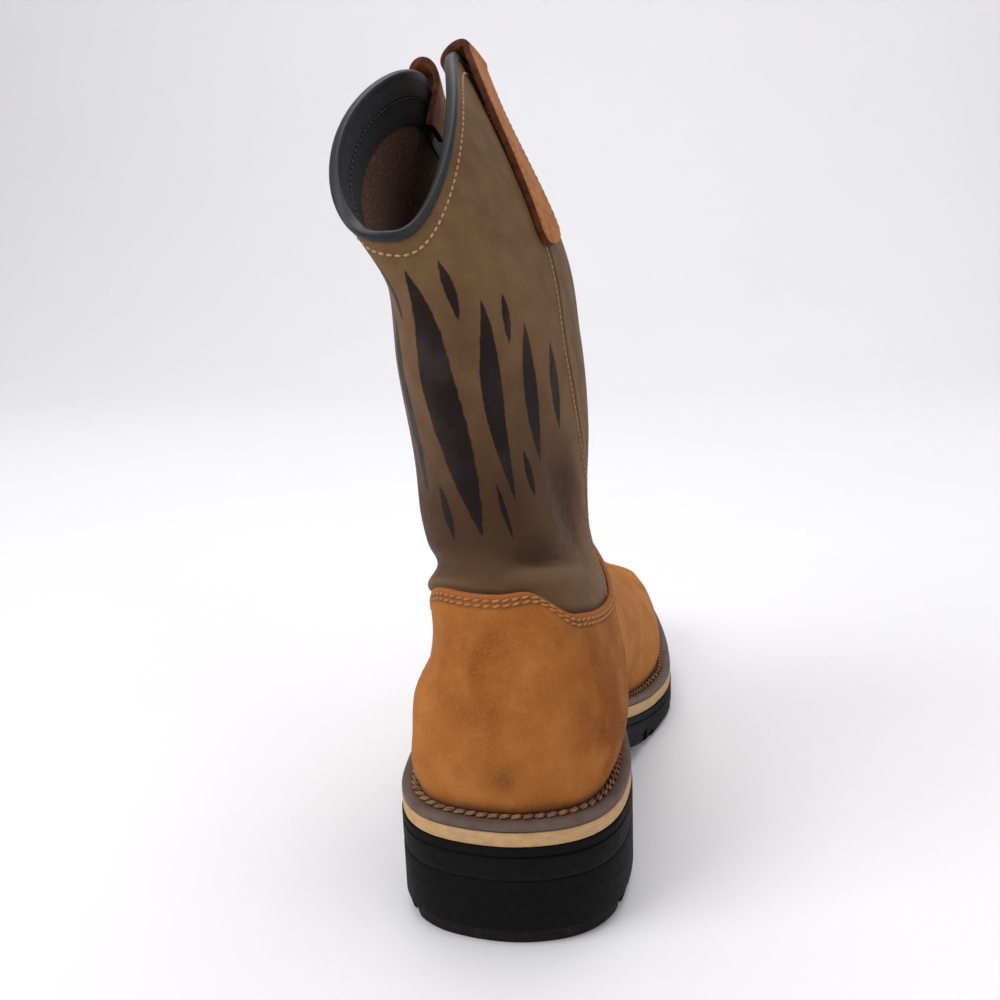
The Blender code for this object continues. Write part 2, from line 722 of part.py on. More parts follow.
def main():
    """Build the boot and stand it over the origin."""
    for item in list(bpy.data.objects):
        bpy.data.objects.remove(item, do_unlink=True)
    boot = bpy.data.collections.new("pull_on_work_boot")
    cutters = bpy.data.collections.new("groove_cutters")
    bpy.context.scene.collection.children.link(boot)
    bpy.context.scene.collection.children.link(cutters)

    rubber = make_material("black_rubber", (0.012, 0.012, 0.012), 0.75)
    midsole_tan = make_material("tan_midsole", (0.60, 0.37, 0.16), 0.7)
    welt_grey = make_material("mauve_welt", (0.17, 0.12, 0.11), 0.7)
    insole_brown = make_material("brown_insole", (0.10, 0.06, 0.035), 0.9)
    shaft_brown = make_material("taupe_leather", (0.14, 0.09, 0.045), 0.6)
    nubuck_tan = make_material("tan_nubuck", (0.42, 0.16, 0.03), 0.85)
    binding_black = make_material("black_binding", (0.015, 0.015, 0.016), 0.35)
    strap_rust = make_material("rust_strap", (0.40, 0.15, 0.05), 0.6)

    sole = SoleForm()
    form = UpperForm(sole)
    points, normals = form.grid()
    loop = 2 * FRONT_COLUMN
    behind = [column % loop for column in range(-SEAM_COLUMN, SEAM_COLUMN + 1)]
    ahead = list(range(SEAM_COLUMN, loop - SEAM_COLUMN + 1))
    bed = MIDSOLE_THICKNESS + INSOLE_CLEARANCE

    heel = add_heel_block(sole)
    outsole = add_outsole(sole)
    pieces = [
        (heel, rubber),
        (outsole, rubber),
        (add_layer("midsole", sole, LAYER_INSET, GAP, MIDSOLE_THICKNESS - GAP), midsole_tan),
        (add_welt(sole), welt_grey),
        (add_layer("insole", sole, INSOLE_INSET, bed, bed + INSOLE_THICKNESS), insole_brown),
        (add_upper(points, normals), shaft_brown),
        (add_overlay("counter", points, normals, behind), nubuck_tan),
        (add_overlay("vamp", points, normals, ahead), nubuck_tan),
        (add_binding(points, normals), binding_black),
        (add_strap("pull_strap_lateral", form, LATERAL), strap_rust),
        (add_strap("pull_strap_medial", form, MEDIAL), strap_rust),
    ]
    frame = bpy.data.objects.new("boot_frame", None)
    boot.objects.link(frame)
    for piece, material in pieces:
        piece.data.materials.append(material)
        piece.data.shade_smooth()
        piece.data.set_sharp_from_angle(angle=SHARP_ANGLE)
        boot.objects.link(piece)
        piece.parent = frame
    cut_grooves(heel, sole, HEEL_GROOVES_Y, cutters)
    cut_grooves(outsole, sole, FOREFOOT_GROOVES_Y, cutters)
    for cutter in cutters.objects:
        cutter.parent = frame
    bpy.context.view_layer.update()
    low, high = box_of([piece for piece, _ in pieces])
    frame.location = (-0.5 * (low[0] + high[0]), -0.5 * (low[1] + high[1]), -low[2])
    bpy.context.view_layer.update()


main()
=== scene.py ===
"""Looks of the pull-on work boot for the left foot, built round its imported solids.

Sizes are in millimetres, measured from the back of the sole, and become metres in the boot's
frame when a mesh is made. The wall of the upper is the same loft of rings as in the solids, with
more points, so every leather piece, seam and stitch row lies on one form.
"""

import logging
import math
from dataclasses import dataclass, fields
from enum import Enum, IntEnum
from typing import Callable, NamedTuple, Optional, Sequence

import bmesh
import bpy
import numpy as np
from mathutils import Matrix, Vector

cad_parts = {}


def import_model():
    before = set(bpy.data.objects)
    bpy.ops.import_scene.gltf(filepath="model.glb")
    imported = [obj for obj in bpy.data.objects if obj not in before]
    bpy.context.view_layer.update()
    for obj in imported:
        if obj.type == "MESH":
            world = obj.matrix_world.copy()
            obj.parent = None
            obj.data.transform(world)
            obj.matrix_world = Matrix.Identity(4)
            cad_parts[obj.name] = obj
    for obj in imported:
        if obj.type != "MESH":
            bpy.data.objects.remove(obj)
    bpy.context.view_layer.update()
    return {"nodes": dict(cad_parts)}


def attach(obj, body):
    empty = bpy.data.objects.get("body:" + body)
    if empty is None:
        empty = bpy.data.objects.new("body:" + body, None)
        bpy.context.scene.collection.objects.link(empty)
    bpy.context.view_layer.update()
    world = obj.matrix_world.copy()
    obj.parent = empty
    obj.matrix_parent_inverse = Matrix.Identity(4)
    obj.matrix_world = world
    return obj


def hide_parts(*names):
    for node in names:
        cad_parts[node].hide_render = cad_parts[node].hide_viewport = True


LOG = logging.getLogger("work_boot")
MM = 0.001
ROW_SHIFT = np.array([0.7091, -153.0, 0.0])
BODY = "root"
SHARP_ANGLE = math.radians(35.0)

SOLE_LENGTH = 306.0
HEEL_BLOCK_HEIGHT = 26.0
HEEL_BREAST_Y = 82.0
MIDSOLE_THICKNESS = 6.0
WELT_THICKNESS = 3.0
WALL_THICKNESS = 2.4
OVERLAY_THICKNESS = 1.6
GAP = 0.3
COLLAR_PEAK_POWER = 1.7
COLLAR_PINCH_POWER = 3.0
COLLAR_PEAK_SHIFT = 0.83


class Side(IntEnum):
    """Side of the boot, as the sign of its x direction."""

    LATERAL = -1
    MEDIAL = 1


class Span(Enum):
    """Stretch of the wall that a grid covers."""

    RING = "all round"
    BACK = "from side seam to side seam behind"
    FRONT = "from side seam to side seam in front"


class Station(NamedTuple):
    """Half widths of the sole at one length."""

    y: float
    lateral: float
    medial: float


class Level(NamedTuple):
    """Bottom and top of the rubber outsole at one length."""

    y: float
    under: float
    over: float


class FootRing(NamedTuple):
    """Ring of the upper that follows the sole: inset from its edge, lift above the welt."""

    heel_inset: float
    lateral_waist_inset: float
    medial_waist_inset: float
    ball_inset: float
    toe_inset: float
    heel_lift: float
    waist_lift: float
    ball_lift: float
    toe_lift: float
    seam_y: float
    lateral_heel_step: float = 0.0
    medial_heel_step: float = 0.0


class LegRing(NamedTuple):
    """Oval ring of the upper, from a point on the back line to one on the front line."""

    back_x: float
    back_y: float
    back_z: float
    front_x: float
    front_y: float
    front_z: float
    lateral_half: float
    medial_half: float
    widest: float
    back_power: float
    front_power: float
    side_rise: float
    lateral_pinch: float
    medial_pinch: float
    seam_y: float
    lateral_seam_step: float = 0.0
    medial_rise_step: float = 0.0


class Edge(NamedTuple):
    """Height of the top edge of counter and vamp at one place round the half ring."""

    place: float
    medial: float
    lateral: float


class StrapStation(NamedTuple):
    """Middle of the pull strap: depth below the rim, offset out from the wall."""

    depth: float
    offset: float


class Crease(NamedTuple):
    """Soft trough on the wall along a bent line of arc and height, a ridge if depth is negative."""

    start_arc: float
    start_z: float
    middle_arc: float
    middle_z: float
    end_arc: float
    end_z: float
    half_width: float
    depth: float


class Smudge(NamedTuple):
    """Soft patch on the back of the boot."""

    x: float
    z: float
    half_width: float
    half_height: float
    strength: float


class Leaf(NamedTuple):
    """Pointed oval of the print."""

    arc: float
    z: float
    half_width: float
    half_height: float


SOLE_OUTLINE = [
    Station(0.0, 0.0, 0.0),
    Station(6.0, 27.0, 24.5),
    Station(22.0, 41.0, 38.5),
    Station(50.0, 45.0, 43.0),
    Station(84.0, 43.5, 39.5),
    Station(120.0, 40.0, 35.5),
    Station(158.0, 45.5, 44.5),
    Station(196.0, 53.0, 55.5),
    Station(228.0, 55.0, 55.5),
    Station(258.0, 51.0, 51.5),
    Station(282.0, 42.0, 45.0),
    Station(298.0, 28.5, 34.0),
    Station(SOLE_LENGTH, -3.0, 3.0),
]

SOLE_LEVELS = [
    Level(0.0, HEEL_BLOCK_HEIGHT, 39.0),
    Level(45.0, HEEL_BLOCK_HEIGHT, 39.0),
    Level(98.0, HEEL_BLOCK_HEIGHT, 37.0),
    Level(124.0, 16.0, 29.6),
    Level(150.0, 5.0, 21.0),
    Level(172.0, 0.0, 15.5),
    Level(205.0, 0.0, 14.0),
    Level(240.0, 0.0, 14.3),
    Level(275.0, 3.6, 17.8),
    Level(SOLE_LENGTH, 10.5, 24.5),
]

FOOT_RINGS = [
    FootRing(9.4, 9.0, 9.0, 9.6, 10.0, 0.0, 0.0, 0.0, 0.0, 60.0),
    FootRing(6.2, 6.6, 5.2, 7.6, 7.4, 9.0, 9.0, 9.0, 8.0, 61.0, 0.8, -0.8),
    FootRing(5.0, 4.6, 2.2, 9.0, 9.4, 21.0, 20.5, 19.5, 15.0, 63.0, 4.6, -1.8),
    FootRing(6.2, 3.4, -0.6, 16.5, 21.0, 37.0, 36.0, 33.5, 21.5, 66.0, 5.5, -1.6),
]

LEG_RINGS = [
    LegRing(0.0, 7.5, 98.0, 4.0, 258.0, 62.0, 33.5, 36.5, 0.36, 3.0, 2.15, 0.0, 0.0, 0.0, 70.0),
    LegRing(0.0, 12.0, 109.0, 5.0, 226.0, 76.0, 32.0, 33.0, 0.35, 2.8, 1.5, 0.0, 0.0, 0.0, 75.0),
    LegRing(-1.0, 16.0, 120.0, 4.5, 200.0, 97.0, 31.5, 30.0, 0.31, 2.5, 1.4, 0.0, 0.0, 0.0, 83.0),
    LegRing(-3.0, 19.0, 131.0, 3.0, 182.0, 120.0, 32.5, 26.0, 0.38, 2.2, 1.55, 0.0, 0.0, 0.0, 90.0),
    LegRing(-6.0, 20.5, 146.0, 0.0, 171.0, 144.0, 35.0, 27.5, 0.44, 2.0, 1.7, 0.0, 0.0, 0.0, 88.0),
    LegRing(-12.0, 20.0, 170.0, -4.0, 166.5, 170.0, 32.0, 32.5, 0.48, 1.85, 1.9, 0.0, 0.0, 0.0, 80.0),
    LegRing(-19.0, 18.0, 200.0, -8.0, 167.0, 203.0, 29.5, 35.2, 0.49, 1.8, 1.9, 2.0, 0.0, 0.0, 75.5, 4.0),
    LegRing(
        -23.0, 17.0, 226.0, -13.0, 174.0, 238.0, 27.0, 33.3, 0.47, 1.8, 1.9, 13.0, 0.0, 0.05, 79.0,
        12.0,
    ),
    LegRing(
        -33.0, 19.0, 250.0, -22.0, 192.0, 274.0, 34.0, 20.5, 0.40, 2.2, 1.5, 45.0, 0.60, 0.72, 110.0,
        16.0, 5.5,
    ),
]

TOP_EDGE = [
    Edge(0.00, 127.0, 127.0),
    Edge(0.09, 126.5, 127.0),
    Edge(0.155, 117.5, 126.0),
    Edge(0.205, 114.5, 123.0),
    Edge(0.25, 112.0, 116.5),
    Edge(0.32, 108.5, 110.0),
    Edge(0.40, 105.0, 105.0),
    Edge(0.55, 102.5, 102.5),
    Edge(0.70, 103.5, 103.5),
    Edge(0.84, 115.0, 115.0),
    Edge(0.94, 138.0, 138.0),
    Edge(1.00, 147.0, 147.0),
]

STRAP_OUTER_LEG = [
    StrapStation(79.0, 1.7),
    StrapStation(61.0, 1.7),
    StrapStation(44.0, 1.8),
    StrapStation(30.0, 2.1),
    StrapStation(18.0, 2.7),
    StrapStation(8.0, 3.6),
    StrapStation(0.0, 4.2),
]

STRAP_INNER_LEG = [
    StrapStation(0.0, -5.9),
    StrapStation(4.0, -5.8),
    StrapStation(8.0, -5.5),
    StrapStation(12.0, -5.2),
    StrapStation(16.0, -5.2),
]

SHAFT_CREASES = [
    Crease(-66.0, 114.0, -42.0, 121.5, -6.0, 131.0, 4.2, -2.6),
    Crease(-60.0, 122.0, -38.0, 130.0, 0.0, 138.0, 4.2, 2.3),
    Crease(0.0, 139.5, 23.0, 137.0, 52.0, 129.0, 3.2, 2.4),
    Crease(4.0, 133.0, 26.0, 130.0, 56.0, 123.0, 3.4, -2.4),
    Crease(-12.0, 142.0, 2.0, 143.5, 15.0, 140.0, 2.4, 0.8),
    Crease(46.0, 168.0, 57.0, 149.0, 63.0, 130.0, 10.0, 2.8),
    Crease(70.0, 166.0, 77.0, 149.0, 80.0, 132.0, 6.0, -0.8),
    Crease(24.0, 182.0, 36.0, 162.0, 41.0, 146.0, 9.0, -0.8),
    Crease(80.0, 232.0, 87.0, 216.0, 94.0, 198.0, 1.9, 0.5),
    Crease(82.0, 212.0, 90.0, 196.0, 97.0, 179.0, 1.9, 0.55),
    Crease(84.0, 194.0, 92.0, 178.0, 100.0, 162.0, 1.9, 0.55),
    Crease(88.0, 176.0, 96.0, 162.0, 103.0, 148.0, 2.0, 0.6),
    Crease(93.0, 160.0, 99.0, 148.0, 106.0, 136.0, 2.2, 0.6),
    Crease(-84.0, 214.0, -92.0, 196.0, -99.0, 178.0, 2.0, 0.5),
    Crease(-88.0, 186.0, -96.0, 170.0, -104.0, 154.0, 2.0, 0.5),
    Crease(-58.0, 164.0, -70.0, 147.0, -78.0, 128.0, 9.0, 1.8),
    Crease(106.0, 126.0, 130.0, 136.0, 156.0, 134.0, 5.0, 1.5),
    Crease(-106.0, 126.0, -130.0, 136.0, -156.0, 134.0, 5.0, 1.5),
    Crease(112.0, 146.0, 134.0, 154.0, 156.0, 152.0, 5.0, 1.0),
    Crease(-112.0, 146.0, -134.0, 154.0, -156.0, 152.0, 5.0, 1.0),
]

SHAFT_SHADES = [
    Smudge(8.0, 152.0, 48.0, 30.0, 0.75),
    Smudge(60.0, 150.0, 13.0, 22.0, 0.7),
    Smudge(36.0, 170.0, 18.0, 22.0, 0.35),
    Smudge(-30.0, 146.0, 24.0, 18.0, 0.45),
    Smudge(26.0, 138.0, 14.0, 5.0, 0.5),
    Smudge(-60.0, 150.0, 22.0, 24.0, 0.55),
]

# Smudges on counter and vamp; those near the medial contour are painted shade where the wall turns from
# the light, the rest are real smudges.
COUNTER_SMUDGES_AND_SHADE = [
    Smudge(-8.0, 108.0, 13.0, 16.0, 0.75),
    Smudge(-18.0, 94.0, 9.0, 12.0, 0.4),
    Smudge(-2.0, 84.0, 14.0, 12.0, 0.5),
    Smudge(29.0, 97.0, 7.0, 17.0, 0.7),
    Smudge(31.0, 76.0, 8.0, 14.0, 0.5),
    Smudge(39.0, 76.0, 7.0, 24.0, 0.85),
    Smudge(20.0, 104.0, 9.0, 8.0, 0.4),
    Smudge(35.0, 60.0, 7.0, 10.0, 0.6),
    Smudge(-30.0, 62.0, 7.0, 9.0, 0.3),
]

HEEL_BLOTCH = Smudge(0.4, 63.5, 4.2, 5.2, 0.6)

PRINT_HEIGHT = 193.0
PRINT_SHAPES = [
    Leaf(0.0, 0.0, 6.4, 46.0),
    Leaf(23.0, 0.0, 5.0, 35.0),
    Leaf(43.0, 0.0, 4.0, 25.0),
    Leaf(60.0, 0.0, 3.2, 16.0),
    Leaf(12.0, 38.0, 2.2, 10.0),
    Leaf(33.5, 27.0, 1.9, 8.5),
]


def blend_four(before: np.ndarray, here: np.ndarray, after: np.ndarray, beyond: np.ndarray,
               part: np.ndarray) -> np.ndarray:
    """Catmull-Rom blend between here and after.

    Args:
        before, here, after, beyond: Four values in a row.
        part: Share of the way from here to after.

    Returns:
        The blended values.
    """
    slope_here = 0.5 * (after - before)
    slope_after = 0.5 * (beyond - here)
    rise = after - here
    bend = 3.0 * rise - 2.0 * slope_here - slope_after
    twist = slope_here + slope_after - 2.0 * rise
    return here + part * (slope_here + part * (bend + part * twist))


def extended(rows: np.ndarray) -> np.ndarray:
    """Rows with one more at each end, carried on straight."""
    return np.concatenate([2.0 * rows[:1] - rows[1:2], rows, 2.0 * rows[-1:] - rows[-2:-1]])


def curve_value(rows: Sequence[float], where: np.ndarray) -> np.ndarray:
    """Value of the smooth curve through a column of numbers, at fractional row numbers."""
    padded = extended(np.asarray(rows, float))
    where = np.clip(where, 0.0, len(rows) - 1.0)
    start = np.minimum(where.astype(int), len(rows) - 2)
    return blend_four(*(padded[start + step] for step in range(4)), where - start)


def table_value(x: np.ndarray, places: np.ndarray, values: np.ndarray) -> np.ndarray:
    """Value of a short table at x, smooth between its rows."""
    row = np.interp(x, places, np.arange(len(places)))
    return curve_value(values, row)


def round_to_length(s: np.ndarray) -> np.ndarray:
    """Share of the length at a place round the half ring, 0 at the back and 1 at the front."""
    return 0.5 * (1.0 - np.cos(math.pi * s))


def length_to_round(share: np.ndarray) -> np.ndarray:
    """Place round the half ring at a share of the length."""
    return np.arccos(np.clip(1.0 - 2.0 * share, -1.0, 1.0)) / math.pi


def unit(vectors: np.ndarray) -> np.ndarray:
    """Vectors scaled to length one."""
    return vectors / np.linalg.norm(vectors, axis=-1, keepdims=True)


def smooth_step(low: float, high: float, x: np.ndarray) -> np.ndarray:
    """Smooth rise from 0 at low to 1 at high."""
    part = np.clip((x - low) / (high - low), 0.0, 1.0)
    return part * part * (3.0 - 2.0 * part)


def bell(distance: np.ndarray, half_width: float) -> np.ndarray:
    """Soft hump that is 1 at distance 0."""
    return np.exp(-(distance / half_width) ** 2)


def linear(red: int, green: int, blue: int) -> tuple[float, float, float]:
    """Linear colour from eight-bit display values."""
    shares = (value / 255.0 for value in (red, green, blue))
    return tuple(c / 12.92 if c <= 0.04045 else ((c + 0.055) / 1.055) ** 2.4 for c in shares)


class SoleForm:
    """Plan outline and levels of the sole."""

    SAMPLES = 1600

    def __init__(self) -> None:
        """Trace the outline of each side with its outward normals."""
        table = np.array(SOLE_OUTLINE)
        self.lines: dict[Side, np.ndarray] = {}
        for side, own, other in ((Side.LATERAL, 1, 2), (Side.MEDIAL, 2, 1)):
            rows = np.column_stack([side * table[:, own], table[:, 0]])
            behind = [-side * table[1, other], table[1, 0]]
            ahead = [-side * table[-2, other], table[-2, 0]]
            padded = np.vstack([behind, rows, ahead])
            where = np.linspace(0.0, len(rows) - 1.0, self.SAMPLES)
            start = np.minimum(where.astype(int), len(rows) - 2)
            part = (where - start)[:, None]
            line = blend_four(*(padded[start + step] for step in range(4)), part)
            slope = np.gradient(line, axis=0)
            outward = unit(side * np.column_stack([slope[:, 1], -slope[:, 0]]))
            self.lines[side] = np.hstack([line, outward])
        self.levels = np.array(SOLE_LEVELS)

    def under(self, y: np.ndarray) -> np.ndarray:
        """Bottom of the outsole."""
        return np.clip(table_value(y, self.levels[:, 0], self.levels[:, 1]), 0.0, HEEL_BLOCK_HEIGHT)

    def over(self, y: np.ndarray) -> np.ndarray:
        """Top of the outsole."""
        return table_value(y, self.levels[:, 0], self.levels[:, 2])

    def welt_top(self, y: np.ndarray) -> np.ndarray:
        """Top of the welt, where the upper starts."""
        return self.over(y) + MIDSOLE_THICKNESS + GAP + WELT_THICKNESS

    def edge(self, side: Side, s: np.ndarray, inset: np.ndarray) -> np.ndarray:
        """Plan points of the outline, moved in from the edge along its normal.

        Args:
            side: Side of the boot.
            s: Places round the half outline.
            inset: How far in, one number or one for each place.

        Returns:
            Plan points, one row each.
        """
        line = self.lines[side]
        length = round_to_length(s) * SOLE_LENGTH
        index = np.interp(length, line[:, 1], np.arange(len(line)))
        x, y, out_x, out_y = (np.interp(index, np.arange(len(line)), line[:, k]) for k in range(4))
        return np.column_stack([x - out_x * inset, y - out_y * inset])

    def loop(self, inset: np.ndarray, s: np.ndarray) -> np.ndarray:
        """Plan loop: lateral side from the back to the front, medial side back again."""
        lateral = self.edge(Side.LATERAL, s, inset)
        medial = self.edge(Side.MEDIAL, s, inset)
        shared_front = 1 if s[-1] == 1.0 else 0
        return np.vstack([lateral, medial[::-1][shared_front:-1]])


@dataclass
class WallGrid:
    """Grid of points on the upper's wall, rows upwards, with where each of them lies.

    arc is the way round from the back line, medial positive. seam is the way on from the side
    seam to the front. rise is the way up from the top edge of counter and vamp. drop is the way
    down from the rim.
    """

    points: np.ndarray
    normals: np.ndarray
    arc: np.ndarray
    seam: np.ndarray
    rise: np.ndarray
    drop: np.ndarray

    def offset(self, distance: np.ndarray) -> np.ndarray:
        """Points moved out along the normals."""
        return self.points + self.normals * np.asarray(distance, float)[..., None]


@dataclass
class RowPlan:
    """Rows of a grid: share of the way from feather line to edge, drop below it, share above it."""

    low: np.ndarray
    drop: np.ndarray
    high: np.ndarray


class UpperForm:
    """The wall of the upper: a side, a place round the half ring and a ring number to a point."""

    STEP = 1e-3
    WIDE_PLACE = 0.05
    WIDE_RING = 0.4
    CROWDED_END = (5.0, 7.0)
    SETTLE_ROUNDS = 6
    EDGE_PLACES = np.linspace(0.0, 1.0, 161)
    RING_SAMPLES = 481
    FOOT_PLACES = np.array([0.0, 0.18, 0.42, 0.68, 0.95, 1.0])

    def __init__(self, sole: SoleForm) -> None:
        """Place the side seam and the top edge on the rings.

        Args:
            sole: Form of the sole that the lower rings follow.
        """
        self.sole = sole
        self.rim = len(FOOT_RINGS) + len(LEG_RINGS) - 1.0
        self.seam_places = {side: self.find_seam(side) for side in Side}
        self.edge_rings = {side: self.find_edge(side) for side in Side}

    def find_seam(self, side: Side) -> np.ndarray:
        """Place of the side seam on each ring."""
        shares = [ring.seam_y / SOLE_LENGTH for ring in FOOT_RINGS]
        for ring in LEG_RINGS:
            seam_y = ring.seam_y + (ring.lateral_seam_step if side == Side.LATERAL else 0.0)
            shares.append((seam_y - ring.back_y) / (ring.front_y - ring.back_y))
        return length_to_round(np.array(shares))

    def foot_ring(self, ring: FootRing, side: Side, s: np.ndarray) -> np.ndarray:
        """Points of a ring that follows the sole's outline."""
        share = round_to_length(s)
        waist_inset = ring.lateral_waist_inset if side == Side.LATERAL else ring.medial_waist_inset
        step = ring.lateral_heel_step if side == Side.LATERAL else ring.medial_heel_step
        insets = [ring.heel_inset, ring.heel_inset + step, waist_inset + 0.5 * step]
        insets += [ring.ball_inset, ring.toe_inset, ring.toe_inset]
        lifts = [ring.heel_lift, ring.heel_lift, ring.waist_lift]
        lifts += [ring.ball_lift, ring.toe_lift, ring.toe_lift]
        plan = self.sole.edge(side, s, table_value(share, self.FOOT_PLACES, insets))
        lift = table_value(share, self.FOOT_PLACES, lifts)
        return np.column_stack([plan, self.sole.welt_top(plan[:, 1]) + GAP + lift])

    def leg_ring(self, ring: LegRing, side: Side, s: np.ndarray) -> np.ndarray:
        """Points of an oval ring."""
        share = round_to_length(s)
        behind = share < ring.widest
        span = np.where(behind, ring.widest, 1.0 - ring.widest)
        power = np.where(behind, ring.back_power, ring.front_power)
        reach = np.minimum(np.abs(share - ring.widest) / span, 1.0)
        if side == Side.LATERAL:
            widest_half, pinch, rise = ring.lateral_half, ring.lateral_pinch, ring.side_rise
        else:
            widest_half, pinch = ring.medial_half, ring.medial_pinch
            rise = ring.side_rise + ring.medial_rise_step
        half = widest_half * (1.0 - reach ** power) ** (1.0 / power)
        shifted = share ** COLLAR_PEAK_SHIFT
        crest = (4.0 * shifted * (1.0 - shifted)) ** COLLAR_PEAK_POWER
        waist = (4.0 * share * (1.0 - share)) ** COLLAR_PINCH_POWER
        middle = ring.back_x + (ring.front_x - ring.back_x) * share
        x = middle + side * half * (1.0 - pinch * waist)
        y = ring.back_y + (ring.front_y - ring.back_y) * share
        z = ring.back_z + (ring.front_z - ring.back_z) * share + rise * crest
        return np.column_stack([x, y, z])

    def point(self, side: Side, s: np.ndarray, v: np.ndarray) -> np.ndarray:
        """Points of the wall's outer face.

        Args:
            side: Side of the boot.
            s: Places round the half ring.
            v: Ring numbers, of a shape that fits the places.

        Returns:
            Points, with one more axis than the places.
        """
        s, v = np.broadcast_arrays(np.asarray(s, float), np.asarray(v, float))
        shape = s.shape
        s = np.clip(s.ravel(), 0.0, 1.0)
        v = np.clip(v.ravel(), 0.0, self.rim)
        rings = [self.foot_ring(ring, side, s) for ring in FOOT_RINGS]
        rings += [self.leg_ring(ring, side, s) for ring in LEG_RINGS]
        padded = extended(np.array(rings))
        start = np.minimum(v.astype(int), int(self.rim) - 1)
        picks = np.arange(len(s))
        around = (padded[start + step, picks] for step in range(4))
        return blend_four(*around, (v - start)[:, None]).reshape(shape + (3,))

    def slopes(self, side: Side, s: np.ndarray, v: np.ndarray,
               spread: float | np.ndarray = 0.0) -> tuple[np.ndarray, np.ndarray]:
        """Change of the point per step round the ring and per ring.

        Args:
            side: Side of the boot.
            s: Places round the ring.
            v: Ring numbers.
            spread: How far the steps are widened, from 0 to 1.

        Returns:
            Slopes round the ring and up the wall.
        """
        step_s, step_v = self.STEP + self.WIDE_PLACE * spread, self.STEP + self.WIDE_RING * spread
        s_low, s_high = np.clip(s - step_s, 0.0, 1.0), np.clip(s + step_s, 0.0, 1.0)
        v_low, v_high = np.clip(v - step_v, 0.0, self.rim), np.clip(v + step_v, 0.0, self.rim)
        around = (self.point(side, s_high, v) - self.point(side, s_low, v)) / (s_high - s_low)[..., None]
        upward = (self.point(side, s, v_high) - self.point(side, s, v_low)) / (v_high - v_low)[..., None]
        return around, upward

    def normal(self, side: Side, s: np.ndarray, v: np.ndarray) -> np.ndarray:
        """Outward normal of the wall, over a wider stretch low down, where the rings crowd."""
        around, upward = self.slopes(side, s, v, 1.0 - smooth_step(*self.CROWDED_END, v))
        return unit(side * np.cross(around, upward))

    def find_edge(self, side: Side) -> np.ndarray:
        """Ring number of the top edge of counter and vamp, at evenly spaced places."""
        rings = np.linspace(0.0, self.rim, self.RING_SAMPLES)
        heights = self.point(side, self.EDGE_PLACES[:, None], rings[None, :])[..., 2]
        edge = np.array(TOP_EDGE)
        wanted = table_value(self.EDGE_PLACES, edge[:, 0], edge[:, 2 if side == Side.LATERAL else 1])
        return np.array([np.interp(height, column, rings) for height, column in zip(wanted, heights)])

    def edge_ring(self, side: Side, s: np.ndarray) -> np.ndarray:
        """Ring number of the top edge of counter and vamp at a place."""
        return np.interp(s, self.EDGE_PLACES, self.edge_rings[side])

    def ring_below_rim(self, side: Side, s: np.ndarray, depth: float) -> np.ndarray:
        """Ring number at a depth below the rim, measured along the wall."""
        _, upward = self.slopes(side, s, np.full_like(s, self.rim))
        return self.rim - depth / np.linalg.norm(upward, axis=-1)

    def column_places(self, side: Side, columns: np.ndarray, v: np.ndarray) -> np.ndarray:
        """Places of columns at ring numbers: 0 at the back line, 1 at the side seam, 2 in front."""
        seam = curve_value(self.seam_places[side], v)
        return np.where(columns <= 1.0, seam * columns, seam + (1.0 - seam) * (columns - 1.0))

    def rim_places(self, side: Side, columns: np.ndarray) -> np.ndarray:
        """Places of columns at the rim."""
        return self.column_places(side, columns, np.full_like(columns, self.rim))

    def places(self, side: Side, columns: np.ndarray, plan: RowPlan) -> tuple[np.ndarray, np.ndarray]:
        """Place and ring of each point of a grid on one side.

        Args:
            side: Side of the boot.
            columns: Columns of the side, as in column_places.
            plan: Rows of the grid.

        Returns:
            Places and ring numbers, row by column.
        """
        column = columns[None, :]
        low, drop, high = plan.low[:, None], plan.drop[:, None], plan.high[:, None]
        v = (low + high) * 0.5 * self.rim + 0.0 * column
        for _ in range(self.SETTLE_ROUNDS):
            s = self.column_places(side, column, v)
            edge = self.edge_ring(side, s)
            _, upward = self.slopes(side, s, edge)
            v = edge * low + (self.rim - edge) * high - drop / np.linalg.norm(upward, axis=-1)
        return s, v

    def side_grid(self, side: Side, columns: np.ndarray, plan: RowPlan) -> WallGrid:
        """Grid of one side, from the back line forwards."""
        s, v = self.places(side, columns, plan)
        points = self.point(side, s, v)
        steps = np.linalg.norm(np.diff(points, axis=1), axis=-1)
        way = np.concatenate([np.zeros((len(points), 1)), np.cumsum(steps, axis=1)], axis=1)
        if columns[0] > 0.0:
            behind = self.point(side, s[:, :1] * np.linspace(0.0, 1.0, 41), v[:, :1])
            way = way + np.linalg.norm(np.diff(behind, axis=1), axis=-1).sum(axis=1)[:, None]
        seam_column = int(np.argmin(np.abs(columns - 1.0)))
        _, upward = self.slopes(side, s, v)
        pace = np.linalg.norm(upward, axis=-1)
        return WallGrid(
            points=points,
            normals=self.normal(side, s, v),
            arc=side * way,
            seam=way - way[:, seam_column:seam_column + 1],
            rise=(v - self.edge_ring(side, s)) * pace,
            drop=(self.rim - v) * pace,
        )

    def grid(self, span: Span, columns: np.ndarray, plan: RowPlan) -> WallGrid:
        """Grid of both sides.

        Args:
            span: Stretch of the wall.
            columns: Columns of one side, as in column_places.
            plan: Rows of the grid.

        Returns:
            The grid, which starts at the lateral back line or at a side seam.
        """
        lateral = self.side_grid(Side.LATERAL, columns, plan)
        medial = self.side_grid(Side.MEDIAL, columns, plan)
        joined = {}
        for name in (entry.name for entry in fields(WallGrid)):
            a, b = getattr(lateral, name), getattr(medial, name)
            if span is Span.RING:
                joined[name] = np.concatenate([a, b[:, -2:0:-1]], axis=1)
            elif span is Span.BACK:
                joined[name] = np.concatenate([b[:, ::-1], a[:, 1:]], axis=1)
            else:
                joined[name] = np.concatenate([a, b[:, -2::-1]], axis=1)
        return WallGrid(**joined)


